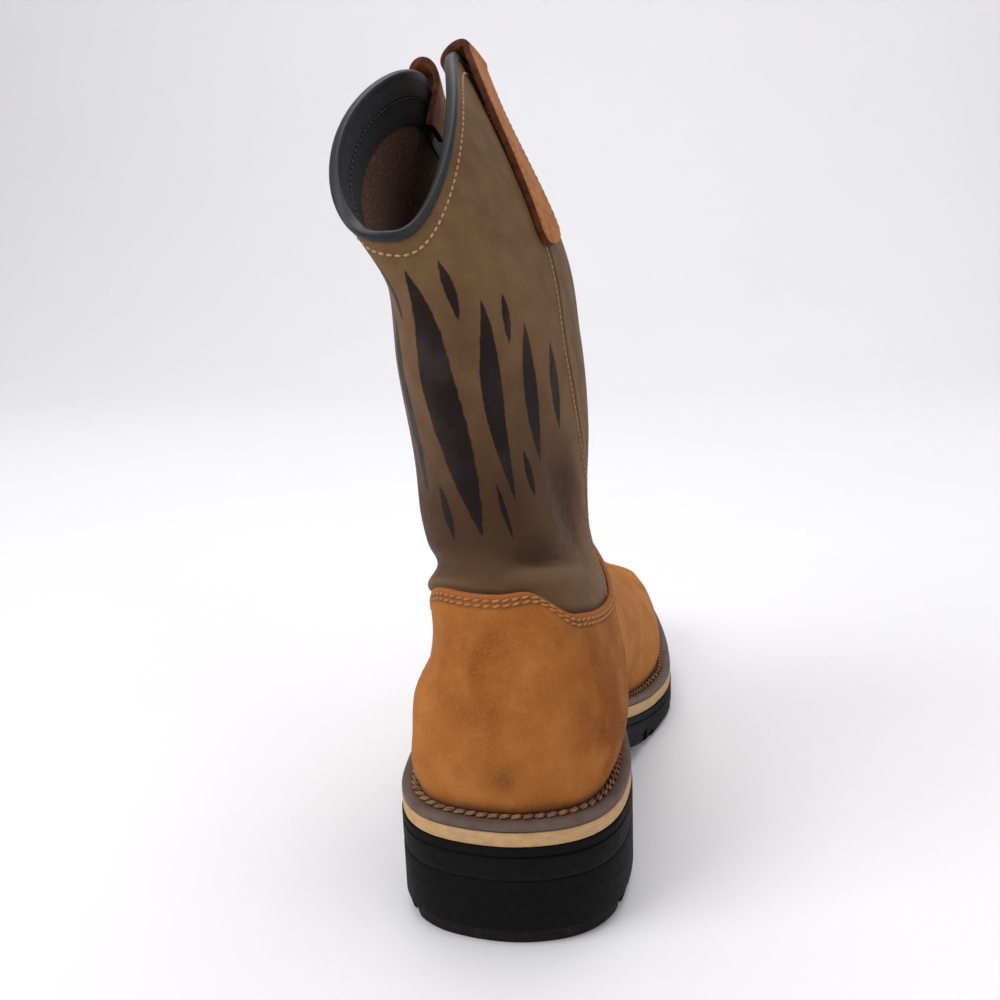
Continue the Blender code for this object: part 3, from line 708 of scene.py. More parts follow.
def bent_line(start: float, middle: float, end: float, share: np.ndarray) -> np.ndarray:
    """Values along a parabola through three values."""
    bow = 2.0 * middle - 0.5 * (start + end)
    return (1.0 - share) ** 2 * start + 2.0 * share * (1.0 - share) * bow + share ** 2 * end


def crease_depth(arc: np.ndarray, z: np.ndarray, creases: Sequence[Crease]) -> np.ndarray:
    """Depth of all the creases at each point.

    Args:
        arc: Way round the wall.
        z: Height.
        creases: Creases to add up.

    Returns:
        Depth, positive inwards.
    """
    total = np.zeros_like(arc)
    share = np.linspace(0.0, 1.0, 33)
    fade = np.sin(math.pi * share) ** 0.7
    for crease in creases:
        line_arc = bent_line(crease.start_arc, crease.middle_arc, crease.end_arc, share)
        line_z = bent_line(crease.start_z, crease.middle_z, crease.end_z, share)
        gap = np.hypot(arc[..., None] - line_arc, z[..., None] - line_z)
        total += crease.depth * np.max(bell(gap, crease.half_width) * fade, axis=-1)
    return total


def smudge_strength(points: np.ndarray, smudges: Sequence[Smudge], front_limit: float) -> np.ndarray:
    """Strength of soft patches at points of the back of the boot.

    Args:
        points: Points of the wall.
        smudges: Patches to add up.
        front_limit: Length past which there are none.

    Returns:
        Strength from 0 to 1.
    """
    total = np.zeros(points.shape[:-1])
    for x, z, half_width, half_height, strength in smudges:
        away = np.hypot((points[..., 0] - x) / half_width, (points[..., 2] - z) / half_height)
        total += strength * bell(away, 1.0)
    return np.clip(total, 0.0, 1.0) * (points[..., 1] < front_limit)


class NodeTree:
    """Node tree with a short call for a new node."""

    tree: bpy.types.NodeTree

    def add(self, kind: str, **settings: object) -> bpy.types.Node:
        """New node with its settings."""
        node = self.tree.nodes.new(kind)
        for key, value in settings.items():
            setattr(node, key, value)
        return node


class ShaderNodes(NodeTree):
    """Node tree of one finish, with short calls for the nodes that it needs."""

    def __init__(self, name: str) -> None:
        """Start a material with its principled shader.

        Args:
            name: Name of the material.
        """
        self.material = bpy.data.materials.new(name)
        self.material.use_nodes = True
        self.tree = self.material.node_tree
        self.shader = self.tree.nodes["Principled BSDF"]
        self.place = self.add("ShaderNodeTexCoord").outputs["Object"]

    def put(self, socket: bpy.types.NodeSocket, value: object) -> None:
        """Link an output to a socket, or set the socket to a constant."""
        if isinstance(value, bpy.types.NodeSocket):
            self.tree.links.new(value, socket)
        elif isinstance(value, tuple) and len(value) == 3 and socket.type == "RGBA":
            socket.default_value = (*value, 1.0)
        else:
            socket.default_value = value

    def constant(self, **values: object) -> None:
        """Set sockets of the shader that are the same all over, by name with underscores."""
        for key, value in values.items():
            self.put(self.shader.inputs[key.replace("_", " ")], value)

    def stretched(self, x: float, y: float, z: float) -> bpy.types.NodeSocket:
        """Object coordinates, scaled along each axis."""
        mapping = self.add("ShaderNodeMapping")
        self.put(mapping.inputs["Vector"], self.place)
        mapping.inputs["Scale"].default_value = (x, y, z)
        return mapping.outputs["Vector"]

    def noise(self, scale: float, detail: float = 3.0, rough: float = 0.55,
              place: Optional[bpy.types.NodeSocket] = None) -> bpy.types.NodeSocket:
        """Cloudy pattern from 0 to 1.

        Args:
            scale: Clouds per metre.
            detail: Finer layers.
            rough: Strength of the finer layers.
            place: Coordinates, the object's own if none are given.

        Returns:
            Output socket.
        """
        node = self.add("ShaderNodeTexNoise")
        self.put(node.inputs["Vector"], place or self.place)
        node.inputs["Scale"].default_value = scale
        node.inputs["Detail"].default_value = detail
        node.inputs["Roughness"].default_value = rough
        return node.outputs["Fac"]

    def cells(self, scale: float) -> bpy.types.NodeSocket:
        """Distance from the nearest of many scattered points."""
        node = self.add("ShaderNodeTexVoronoi")
        self.put(node.inputs["Vector"], self.place)
        node.inputs["Scale"].default_value = scale
        return node.outputs["Distance"]

    def attribute(self, name: str) -> bpy.types.NodeSocket:
        """Number stored on the mesh."""
        return self.add("ShaderNodeAttribute", attribute_name=name).outputs["Fac"]

    def spread(self, value: object, low: float, high: float, to_low: float = 0.0,
               to_high: float = 1.0) -> bpy.types.NodeSocket:
        """Smooth change from one number to another as the value goes from low to high."""
        node = self.add("ShaderNodeMapRange", interpolation_type="SMOOTHSTEP")
        for socket, entry in zip(node.inputs, (value, low, high, to_low, to_high)):
            self.put(socket, entry)
        return node.outputs["Result"]

    def math(self, operation: str, a: object, b: object = 0.0) -> bpy.types.NodeSocket:
        """Result of a sum, product or other operation on one or two numbers."""
        node = self.add("ShaderNodeMath", operation=operation)
        self.put(node.inputs[0], a)
        self.put(node.inputs[1], b)
        return node.outputs["Value"]

    def mix(self, share: object, first: object, second: object) -> bpy.types.NodeSocket:
        """Colour between two colours."""
        node = self.add("ShaderNodeMix", data_type="RGBA")
        self.put(node.inputs["Factor"], share)
        self.put(node.inputs[6], first)
        self.put(node.inputs[7], second)
        return node.outputs[2]

    def leaf(self, arc: bpy.types.NodeSocket, height: bpy.types.NodeSocket,
             shape: Leaf) -> bpy.types.NodeSocket:
        """Distance to the edge of a pointed oval between two arcs, negative inside it.

        Args:
            arc: Way round the wall.
            height: Height.
            shape: The oval.

        Returns:
            Output socket.
        """
        radius = (shape.half_width ** 2 + shape.half_height ** 2) / (2.0 * shape.half_width)
        aside = self.math("ABSOLUTE", self.math("SUBTRACT", arc, shape.arc))
        flat = self.add("ShaderNodeCombineXYZ")
        self.put(flat.inputs["X"], self.math("ADD", aside, radius - shape.half_width))
        self.put(flat.inputs["Y"], self.math("SUBTRACT", height, shape.z))
        reach = self.add("ShaderNodeVectorMath", operation="LENGTH")
        self.put(reach.inputs[0], flat.outputs["Vector"])
        return self.math("SUBTRACT", reach.outputs["Value"], radius)

    def bump(self, height: bpy.types.NodeSocket, strength: float, depth: float,
             normal: Optional[bpy.types.NodeSocket] = None) -> bpy.types.NodeSocket:
        """Normal bent by a height.

        Args:
            height: Height from 0 to 1.
            strength: Share of the full effect.
            depth: Depth of the pattern in metres.
            normal: Normal that is bent already.

        Returns:
            Normal output.
        """
        node = self.add("ShaderNodeBump")
        node.inputs["Strength"].default_value = strength
        node.inputs["Distance"].default_value = depth
        self.put(node.inputs["Height"], height)
        if normal is not None:
            self.put(node.inputs["Normal"], normal)
        return node.outputs["Normal"]

    def surface(self, color: object, roughness: object, normal: object) -> bpy.types.Material:
        """Finish the shader and hand over the material."""
        self.put(self.shader.inputs["Base Color"], color)
        self.put(self.shader.inputs["Roughness"], roughness)
        self.put(self.shader.inputs["Normal"], normal)
        return self.material


@dataclass(frozen=True)
class ShaftLeather:
    """Oiled taupe leather of the shaft, with the charcoal print."""

    name: str = "shaft_leather"
    middle: tuple[float, float, float] = linear(113, 85, 58)
    light: tuple[float, float, float] = linear(139, 110, 78)
    dark: tuple[float, float, float] = linear(62, 39, 24)
    ink: tuple[float, float, float] = linear(25, 21, 20)
    worn_ink: tuple[float, float, float] = linear(46, 41, 42)

    def printed(self, nodes: ShaderNodes) -> bpy.types.NodeSocket:
        """Share of ink: the same four times over, about the back line and the print's height."""
        arc = nodes.math("ABSOLUTE", nodes.attribute("arc"))
        height = nodes.math("ABSOLUTE", nodes.math("SUBTRACT", nodes.attribute("height"), PRINT_HEIGHT))
        nearest = nodes.leaf(arc, height, PRINT_SHAPES[0])
        for shape in PRINT_SHAPES[1:]:
            nearest = nodes.math("MINIMUM", nearest, nodes.leaf(arc, height, shape))
        wobble = nodes.spread(nodes.noise(420.0, 3.0), 0.2, 0.8, -0.3, 0.3)
        return nodes.spread(nodes.math("ADD", nearest, wobble), -0.35, 0.35, 0.95, 0.0)

    def material(self) -> bpy.types.Material:
        """Cloudy leather, with painted shade in the folds, along the seam and above the counter, and a
        painted highlight on the ridges.
        """
        nodes = ShaderNodes(self.name)
        clouds = nodes.spread(nodes.noise(22.0, 4.0), 0.3, 0.72)
        mottle = nodes.spread(nodes.noise(120.0, 4.0, 0.6), 0.35, 0.7)
        color = nodes.mix(nodes.math("MULTIPLY", clouds, 0.35), self.middle, self.dark)
        color = nodes.mix(nodes.math("MULTIPLY", mottle, 0.3), color, self.light)
        # Painted shade in folds, seam, patches and above the counter.
        color = nodes.mix(nodes.attribute("fold"), color, self.dark)
        # Painted highlight on the ridges.
        color = nodes.mix(nodes.attribute("rub"), color, self.light)
        inked = self.printed(nodes)
        ink = nodes.mix(nodes.spread(nodes.noise(60.0, 4.0), 0.4, 0.75), self.ink, self.worn_ink)
        color = nodes.mix(inked, color, ink)
        grain = nodes.cells(900.0)
        normal = nodes.bump(nodes.noise(2200.0, 3.0), 0.16, 0.00025)
        normal = nodes.bump(grain, 0.12, 0.0003, normal)
        normal = nodes.bump(nodes.noise(150.0, 4.0), 0.25, 0.0007, normal)
        roughness = nodes.spread(nodes.noise(240.0, 3.0), 0.3, 0.7, 0.56, 0.72)
        roughness = nodes.math("SUBTRACT", roughness, nodes.math("MULTIPLY", inked, 0.1))
        nodes.constant(Specular_IOR_Level=0.1)
        return nodes.surface(color, roughness, normal)


@dataclass(frozen=True)
class Nubuck:
    """Brushed tan leather of counter and vamp."""

    name: str = "tan_nubuck"
    middle: tuple[float, float, float] = linear(172, 106, 50)
    light: tuple[float, float, float] = linear(194, 134, 74)
    dark: tuple[float, float, float] = linear(122, 62, 24)
    edge: tuple[float, float, float] = linear(158, 90, 54)
    # Colour of the heel's blotch and of the painted shade along seam, stitch rows and bottom.
    bruise: tuple[float, float, float] = linear(84, 42, 28)

    def material(self) -> bpy.types.Material:
        """Clouded nap with smudges that are partly painted shade, the heel's blotch, a pressed top edge,
        and painted shade along the seam, under the stitch rows and along the bottom.
        """
        nodes = ShaderNodes(self.name)
        clouds = nodes.spread(nodes.noise(24.0, 4.0), 0.36, 0.72)
        streaks = nodes.noise(70.0, 5.0, 0.65, nodes.stretched(1.15, 1.0, 0.9))
        brushed = nodes.spread(streaks, 0.4, 0.72)
        nap = nodes.noise(1500.0, 3.0, 0.65)
        color = nodes.mix(nodes.math("MULTIPLY", clouds, 0.5), self.middle, self.dark)
        color = nodes.mix(nodes.math("MULTIPLY", brushed, 0.4), color, self.light)
        ragged = nodes.math("MULTIPLY", nodes.spread(nodes.noise(52.0, 3.0), 0.2, 0.6), 0.95)
        # Smudges, partly painted shade, darken the colour.
        smudged_and_shaded = nodes.math("MULTIPLY", nodes.attribute("smudge"), ragged)
        color = nodes.mix(smudged_and_shaded, color, self.dark)
        # Heel's blotch and painted shade along seam, stitch rows and bottom.
        blotched_and_shaded = nodes.math("MULTIPLY", nodes.attribute("bruise"), ragged)
        color = nodes.mix(blotched_and_shaded, color, self.bruise)
        color = nodes.mix(nodes.attribute("band"), color, self.edge)
        color = nodes.mix(nodes.spread(nap, 0.35, 0.75, 0.0, 0.3), color, self.light)
        normal = nodes.bump(nap, 0.4, 0.0003)
        ruffled = nodes.noise(420.0, 3.0, 0.6, nodes.stretched(1.2, 1.2, 0.9))
        normal = nodes.bump(ruffled, 0.2, 0.0004, normal)
        nodes.constant(Sheen_Weight=0.04, Sheen_Roughness=0.6, Specular_IOR_Level=0.08)
        nodes.constant(Sheen_Tint=linear(232, 180, 120))
        return nodes.surface(color, 0.88, normal)


@dataclass(frozen=True)
class LiningSuede:
    """Fuzzy brown suede inside the shaft."""

    name: str = "lining_suede"
    middle: tuple[float, float, float] = linear(112, 72, 42)
    light: tuple[float, float, float] = linear(150, 102, 62)
    dark: tuple[float, float, float] = linear(70, 42, 24)

    def material(self) -> bpy.types.Material:
        """Flecked suede with a loose fibre bump."""
        nodes = ShaderNodes(self.name)
        flecks = nodes.noise(700.0, 4.0, 0.7)
        color = nodes.mix(nodes.spread(flecks, 0.42, 0.68), self.dark, self.middle)
        color = nodes.mix(nodes.spread(nodes.noise(1600.0, 2.0), 0.55, 0.75, 0.0, 0.7), color, self.light)
        normal = nodes.bump(flecks, 0.8, 0.0009)
        nodes.constant(Sheen_Weight=0.08, Sheen_Roughness=0.6, Specular_IOR_Level=0.1)
        return nodes.surface(color, 0.96, normal)


@dataclass(frozen=True)
class PlainFinish:
    """Finish with one main colour, a second one in clouds and a fine bump."""

    name: str
    color: tuple[float, float, float]
    second: tuple[float, float, float]
    share: float
    cloud_scale: float
    grain_scale: float
    grain_depth: float
    roughness: float
    gloss: float = 0.4
    stretch: tuple[float, float, float] = (1.0, 1.0, 1.0)

    def material(self) -> bpy.types.Material:
        """Two colours in clouds and a fine grain."""
        nodes = ShaderNodes(self.name)
        place = nodes.stretched(*self.stretch)
        clouds = nodes.spread(nodes.noise(self.cloud_scale, 4.0, 0.6, place), 0.36, 0.7, 0.0, self.share)
        color = nodes.mix(clouds, self.color, self.second)
        grain = nodes.noise(self.grain_scale, 3.0, 0.6, place)
        normal = nodes.bump(grain, 0.5, self.grain_depth)
        roughness = nodes.spread(grain, 0.3, 0.7, self.roughness - 0.06, self.roughness + 0.06)
        nodes.constant(Specular_IOR_Level=self.gloss)
        return nodes.surface(color, roughness, normal)


@dataclass(frozen=True)
class MouldedRubber:
    """Black rubber of outsole and heel, dusty brown on the worn bottom band."""

    name: str = "moulded_rubber"
    black: tuple[float, float, float] = linear(9, 9, 10)
    grey: tuple[float, float, float] = linear(24, 23, 24)
    band: tuple[float, float, float] = linear(22, 19, 18)
    dust: tuple[float, float, float] = linear(64, 57, 53)

    def material(self) -> bpy.types.Material:
        """Matt rubber with fine scratches, dust specks and a worn band."""
        nodes = ShaderNodes(self.name)
        scratches = nodes.noise(300.0, 5.0, 0.7, nodes.stretched(1.0, 1.0, 1.3))
        color = nodes.mix(nodes.spread(scratches, 0.52, 0.78, 0.0, 0.6), self.black, self.grey)
        specks = nodes.spread(nodes.noise(1900.0, 2.0), 0.68, 0.78, 0.0, 0.5)
        color = nodes.mix(specks, color, self.grey)
        worn = nodes.attribute("band")
        color = nodes.mix(worn, color, self.band)
        dusty = nodes.spread(nodes.noise(330.0, 5.0, 0.7), 0.5, 0.75, 0.0, 0.5)
        color = nodes.mix(nodes.math("MULTIPLY", worn, dusty), color, self.dust)
        normal = nodes.bump(nodes.noise(1300.0, 3.0, 0.6), 0.5, 0.00025)
        normal = nodes.bump(scratches, 0.2, 0.0004, normal)
        roughness = nodes.spread(scratches, 0.3, 0.75, 0.62, 0.8)
        nodes.constant(Specular_IOR_Level=0.12)
        return nodes.surface(color, roughness, normal)


WELT_LEATHER = PlainFinish(
    "welt_leather", linear(106, 87, 80), linear(80, 62, 56), 0.5, 160.0, 900.0, 0.0003, 0.66, 0.25)
MIDSOLE_TAN = PlainFinish(
    "midsole_tan", linear(200, 164, 119), linear(170, 132, 90), 0.5, 300.0, 1700.0, 0.0004, 0.8,
    0.2, (0.8, 0.8, 1.3))
BINDING_BLACK = PlainFinish(
    "binding_black", linear(27, 27, 29), linear(44, 44, 47), 0.4, 300.0, 1500.0, 0.0002, 0.42, 0.35)
FACING_BLACK = PlainFinish(
    "facing_black", linear(30, 30, 32), linear(44, 44, 47), 0.5, 500.0, 2400.0, 0.0003, 0.62)
STRAP_FACE = PlainFinish(
    "strap_face", linear(178, 114, 62), linear(134, 78, 40), 0.6, 160.0, 1100.0, 0.0004, 0.72, 0.18)
STRAP_EDGE = PlainFinish(
    "strap_edge", linear(104, 58, 40), linear(62, 32, 24), 0.8, 420.0, 1300.0, 0.0008, 0.85, 0.2)
FINE_THREAD = PlainFinish(
    "fine_thread", linear(188, 150, 104), linear(150, 110, 70), 0.5, 600.0, 3500.0, 0.0002, 0.7)
PANEL_THREAD = PlainFinish(
    "panel_thread", linear(182, 126, 70), linear(136, 84, 42), 0.7, 500.0, 3500.0, 0.0002, 0.7)
WELT_THREAD = PlainFinish(
    "welt_thread", linear(164, 124, 84), linear(92, 62, 40), 0.8, 420.0, 2600.0, 0.0004, 0.7)
DARK_THREAD = PlainFinish(
    "dark_thread", linear(48, 46, 48), linear(30, 29, 30), 0.5, 600.0, 3500.0, 0.0002, 0.6)
INSOLE_SUEDE = PlainFinish(
    "insole_suede", linear(96, 66, 44), linear(60, 40, 26), 0.7, 160.0, 1400.0, 0.0005, 0.92, 0.15)
FLOOR_WHITE = PlainFinish(
    "floor_white", linear(244, 243, 245), linear(238, 237, 240), 0.4, 2.0, 400.0, 0.0001, 0.6, 0.2)


def row_points(points: np.ndarray) -> np.ndarray:
    """Points in metres in the boot's frame, from millimetres measured from the sole's back."""
    return (np.asarray(points).reshape(-1, 3) + ROW_SHIFT) * MM


def mesh_piece(name: str, points: np.ndarray, faces: Sequence[Sequence[int]],
               materials: Sequence[bpy.types.Material], slots: Optional[np.ndarray] = None,
               numbers: Optional[dict[str, np.ndarray]] = None) -> bpy.types.Object:
    """Smooth mesh object in the boot's frame.

    Args:
        name: Name of the piece.
        points: Points in millimetres.
        faces: Corner numbers of each face.
        materials: Materials, in the order of their slots.
        slots: Slot of each face.
        numbers: Numbers to store at the points, by name.

    Returns:
        The object, linked to the scene.
    """
    mesh = bpy.data.meshes.new(name)
    mesh.from_pydata(row_points(points).tolist(), [], faces)
    for material in materials:
        mesh.materials.append(material)
    if slots is not None:
        mesh.polygons.foreach_set("material_index", np.asarray(slots, np.int32))
    for key, values in (numbers or {}).items():
        layer = mesh.attributes.new(key, "FLOAT", "POINT")
        layer.data.foreach_set("value", np.asarray(values, np.float32).ravel())
    work = bmesh.new()
    work.from_mesh(mesh)
    bmesh.ops.recalc_face_normals(work, faces=work.faces)
    work.to_mesh(mesh)
    work.free()
    mesh.shade_smooth()
    mesh.set_sharp_from_angle(angle=SHARP_ANGLE)
    piece = bpy.data.objects.new(name, mesh)
    bpy.context.scene.collection.objects.link(piece)
    return piece


def grid_faces(rows: int, columns: int, wrap: bool, first: int = 0) -> list[tuple[int, int, int, int]]:
    """Faces of a grid of points, numbered from first."""
    faces = []
    for row in range(rows - 1):
        for column in range(columns if wrap else columns - 1):
            a = first + row * columns + column
            b = first + row * columns + (column + 1) % columns
            faces.append((a, b, b + columns, a + columns))
    return faces


def ring_piece(name: str, loops: Sequence[np.ndarray], materials: Sequence[bpy.types.Material],
               slots: Optional[Sequence[int]] = None) -> bpy.types.Object:
    """Solid ring: closed loops joined in turn, the last one to the first.

    Args:
        name: Name of the piece.
        loops: Loops of equal count.
        materials: Materials of the piece.
        slots: Slot of the strip that follows each loop.

    Returns:
        The object.
    """
    count = len(loops[0])
    total = count * len(loops)
    faces = grid_faces(len(loops) + 1, count, wrap=True)
    faces = [tuple(corner % total for corner in face) for face in faces]
    face_slots = None if slots is None else np.repeat(slots, count)
    return mesh_piece(name, np.vstack(loops), faces, materials, face_slots)


def loft_piece(name: str, loops: Sequence[np.ndarray], material: bpy.types.Material,
               numbers: Optional[dict[str, np.ndarray]] = None) -> bpy.types.Object:
    """Solid through closed loops of equal count, capped by strips from side to side."""
    count = len(loops[0])
    faces: list[Sequence[int]] = list(grid_faces(len(loops), count, wrap=True))
    for base in (0, (len(loops) - 1) * count):
        for step in range((count + 1) // 2):
            corners = [step, step + 1, (count - step - 1) % count, (count - step) % count]
            corners = list(dict.fromkeys(corners))
            if len(corners) > 2:
                faces.append([base + corner for corner in corners])
    return mesh_piece(name, np.vstack(loops), faces, [material], numbers=numbers)


def shell_piece(name: str, inner: np.ndarray, outer: np.ndarray, wrap: bool,
                materials: Sequence[bpy.types.Material],
                numbers: Optional[dict[str, np.ndarray]] = None) -> bpy.types.Object:
    """Solid between two grids of the same size, the inside in the last material.

    Args:
        name: Name of the piece.
        inner: Grid of the inside.
        outer: Grid of the outside.
        wrap: Whether the grids close round a tube.
        materials: Materials of the outside and, last, of the inside.
        numbers: Numbers to store at the points of each grid, by name.

    Returns:
        The object.
    """
    rows, columns = inner.shape[:2]
    total = rows * columns
    inside = grid_faces(rows, columns, wrap)
    faces = inside + grid_faces(rows, columns, wrap, first=total)
    bottom = list(range(columns))
    top = list(range(total - columns, total))
    if wrap:
        borders = [bottom, top]
    else:
        right = [row * columns + columns - 1 for row in range(1, rows - 1)]
        left = [row * columns for row in range(rows - 2, 0, -1)]
        borders = [bottom + right + top[::-1] + left]
    for border in borders:
        for here, there in zip(border, border[1:] + border[:1]):
            faces.append((here, there, there + total, here + total))
    slots = np.zeros(len(faces), np.int32)
    slots[:len(inside)] = len(materials) - 1
    points = np.vstack([inner.reshape(-1, 3), outer.reshape(-1, 3)])
    both = {key: np.tile(np.ravel(values), 2) for key, values in (numbers or {}).items()}
    return mesh_piece(name, points, faces, materials, slots, both)


def apply_modifiers(piece: bpy.types.Object) -> None:
    """Turn what the modifiers make into the piece's own mesh and remove them."""
    graph = bpy.context.evaluated_depsgraph_get()
    mesh = bpy.data.meshes.new_from_object(piece.evaluated_get(graph))
    piece.modifiers.clear()
    piece.data = mesh
    mesh.name = piece.name


def hand_over(piece: bpy.types.Object, slot: str, *nodes: str) -> None:
    """Let a finished piece ride on the boot and hide the solids that it stands for.

    Args:
        piece: Finished piece.
        slot: Not used.
        nodes: Solids that it replaces.
    """
    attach(piece, BODY)
    if nodes:
        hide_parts(*nodes)
    LOG.info("%s: %d faces", piece.name, len(piece.data.polygons))


class Strands(Enum):
    """How a stitch is laid."""

    SINGLE = "one strand"
    TWISTED = "two strands, twisted"


@dataclass(frozen=True)
class StitchStyle:
    """Size and lay of the stitches of a row."""

    pitch: float
    length: float
    thickness: float
    slant_deg: float = 0.0
    strands: Strands = Strands.SINGLE


SEAM_STITCH = StitchStyle(2.3, 1.9, 0.55)
COLLAR_STITCH = StitchStyle(2.9, 2.3, 1.0)
PANEL_EDGE_STITCH = StitchStyle(3.5, 3.3, 1.1, 12.0)
PANEL_SEAM_STITCH = StitchStyle(2.6, 2.0, 0.6)
FACING_STITCH = StitchStyle(2.8, 2.1, 0.6)
STRAP_STITCH = StitchStyle(3.0, 2.3, 0.6)
WELT_STITCH = StitchStyle(4.2, 4.4, 1.25, 4.0, Strands.TWISTED)


class StitchTree(NodeTree):
    """Geometry Nodes tree that lays stitch after stitch along paths on a surface."""

    SEGMENTS = 7
    RINGS = 5
    UP = "up"
    TWIST = math.radians(17.0)
    TWIST_SPREAD = 0.42

    def __init__(self, strands: Strands) -> None:
        """Build the tree.

        Args:
            strands: How a stitch is laid.
        """
        self.tree = bpy.data.node_groups.new("stitches_" + strands.name.lower(), "GeometryNodeTree")
        face = self.tree.interface
        self.sockets = {}
        face.new_socket(name="Geometry", in_out="OUTPUT", socket_type="NodeSocketGeometry")
        face.new_socket(name="Geometry", in_out="INPUT", socket_type="NodeSocketGeometry")
        for name in ("Pitch", "Length", "Thickness", "Slant"):
            socket = face.new_socket(name=name, in_out="INPUT", socket_type="NodeSocketFloat")
            self.sockets[name] = socket.identifier
        socket = face.new_socket(name="Thread", in_out="INPUT", socket_type="NodeSocketMaterial")
        self.sockets["Thread"] = socket.identifier
        self.wire(strands)

    def strand(self, given: bpy.types.Node, turn: float, aside: float) -> bpy.types.NodeSocket:
        """One strand of a stitch, lying along x.

        Args:
            given: Group input node.
            turn: Turn about the surface's normal.
            aside: Shift to the side, in strand thicknesses.

        Returns:
            Geometry output.
        """
        link = self.tree.links.new
        ball = self.add("GeometryNodeMeshUVSphere")
        ball.inputs["Segments"].default_value = self.SEGMENTS
        ball.inputs["Rings"].default_value = self.RINGS
        ball.inputs["Radius"].default_value = 0.5
        size = self.add("ShaderNodeCombineXYZ")
        link(given.outputs["Length"], size.inputs["X"])
        link(given.outputs["Thickness"], size.inputs["Y"])
        link(given.outputs["Thickness"], size.inputs["Z"])
        shift = self.add("ShaderNodeMath", operation="MULTIPLY")
        link(given.outputs["Thickness"], shift.inputs[0])
        shift.inputs[1].default_value = aside
        move = self.add("ShaderNodeCombineXYZ")
        link(shift.outputs["Value"], move.inputs["Y"])
        angle = self.add("ShaderNodeMath", operation="ADD")
        link(given.outputs["Slant"], angle.inputs[0])
        angle.inputs[1].default_value = turn
        turned = self.add("ShaderNodeCombineXYZ")
        link(angle.outputs["Value"], turned.inputs["Z"])
        laid = self.add("GeometryNodeTransform")
        link(ball.outputs["Mesh"], laid.inputs["Geometry"])
        link(size.outputs["Vector"], laid.inputs["Scale"])
        link(move.outputs["Vector"], laid.inputs["Translation"])
        link(turned.outputs["Vector"], laid.inputs["Rotation"])
        return laid.outputs["Geometry"]

    def wire(self, strands: Strands) -> None:
        """Lay out the nodes from the path to the finished stitches."""
        link = self.tree.links.new
        given = self.add("NodeGroupInput")
        path = self.add("GeometryNodeMeshToCurve")
        link(given.outputs["Geometry"], path.inputs["Mesh"])
        spaced = self.add("GeometryNodeResampleCurve", mode="LENGTH")
        link(path.outputs["Curve"], spaced.inputs["Curve"])
        link(given.outputs["Pitch"], spaced.inputs["Length"])
        lay = self.add("GeometryNodeInstanceOnPoints")
        link(spaced.outputs["Curve"], lay.inputs["Points"])
        if strands is Strands.SINGLE:
            link(self.strand(given, 0.0, 0.0), lay.inputs["Instance"])
        else:
            joined = self.add("GeometryNodeJoinGeometry")
            link(self.strand(given, self.TWIST, self.TWIST_SPREAD), joined.inputs["Geometry"])
            link(self.strand(given, self.TWIST, -self.TWIST_SPREAD), joined.inputs["Geometry"])
            link(joined.outputs["Geometry"], lay.inputs["Instance"])
        along = self.add("FunctionNodeAlignRotationToVector", axis="X")
        link(self.add("GeometryNodeInputTangent").outputs["Tangent"], along.inputs["Vector"])
        upright = self.add("FunctionNodeAlignRotationToVector", axis="Z", pivot_axis="X")
        up = self.add("GeometryNodeInputNamedAttribute", data_type="FLOAT_VECTOR")
        up.inputs["Name"].default_value = self.UP
        link(along.outputs["Rotation"], upright.inputs["Rotation"])
        link(up.outputs["Attribute"], upright.inputs["Vector"])
        link(upright.outputs["Rotation"], lay.inputs["Rotation"])
        real = self.add("GeometryNodeRealizeInstances")
        link(lay.outputs["Instances"], real.inputs["Geometry"])
        smooth = self.add("GeometryNodeSetShadeSmooth")
        link(real.outputs["Geometry"], smooth.inputs["Geometry"])
        thread = self.add("GeometryNodeSetMaterial")
        link(smooth.outputs["Geometry"], thread.inputs["Geometry"])
        link(given.outputs["Thread"], thread.inputs["Material"])
        link(thread.outputs["Geometry"], self.add("NodeGroupOutput").inputs["Geometry"])


class Stitcher:
    """Sews rows of stitches with one tree for each lay."""

    def __init__(self) -> None:
        """Build the trees."""
        self.trees = {strands: StitchTree(strands) for strands in Strands}

    def sew(self, name: str, rows: Sequence[tuple[np.ndarray, np.ndarray, bool]], style: StitchStyle,
            thread: bpy.types.Material) -> bpy.types.Object:
        """Piece with the stitches of some rows.

        Args:
            name: Name of the piece.
            rows: Points, normals and whether the row is closed, for each row.
            style: Size and lay of the stitches.
            thread: Material of the thread.

        Returns:
            The object.
        """
        points, ups, edges = [], [], []
        for line, normals, closed in rows:
            first = sum(len(part) for part in points)
            count = len(line)
            edges += [(first + k, first + k + 1) for k in range(count - 1)]
            if closed:
                edges.append((first + count - 1, first))
            points.append(line)
            ups.append(normals)
        mesh = bpy.data.meshes.new(name)
        mesh.from_pydata(row_points(np.vstack(points)).tolist(), edges, [])
        layer = mesh.attributes.new(StitchTree.UP, "FLOAT_VECTOR", "POINT")
        layer.data.foreach_set("vector", np.vstack(ups).astype(np.float32).ravel())
        piece = bpy.data.objects.new(name, mesh)
        bpy.context.scene.collection.objects.link(piece)
        tree = self.trees[style.strands]
        sewing = piece.modifiers.new("sewing", "NODES")
        sewing.node_group = tree.tree
        sewing[tree.sockets["Pitch"]] = style.pitch * MM
        sewing[tree.sockets["Length"]] = style.length * MM
        sewing[tree.sockets["Thickness"]] = style.thickness * MM
        sewing[tree.sockets["Slant"]] = math.radians(style.slant_deg)
        sewing[tree.sockets["Thread"]] = thread
        apply_modifiers(piece)
        return piece


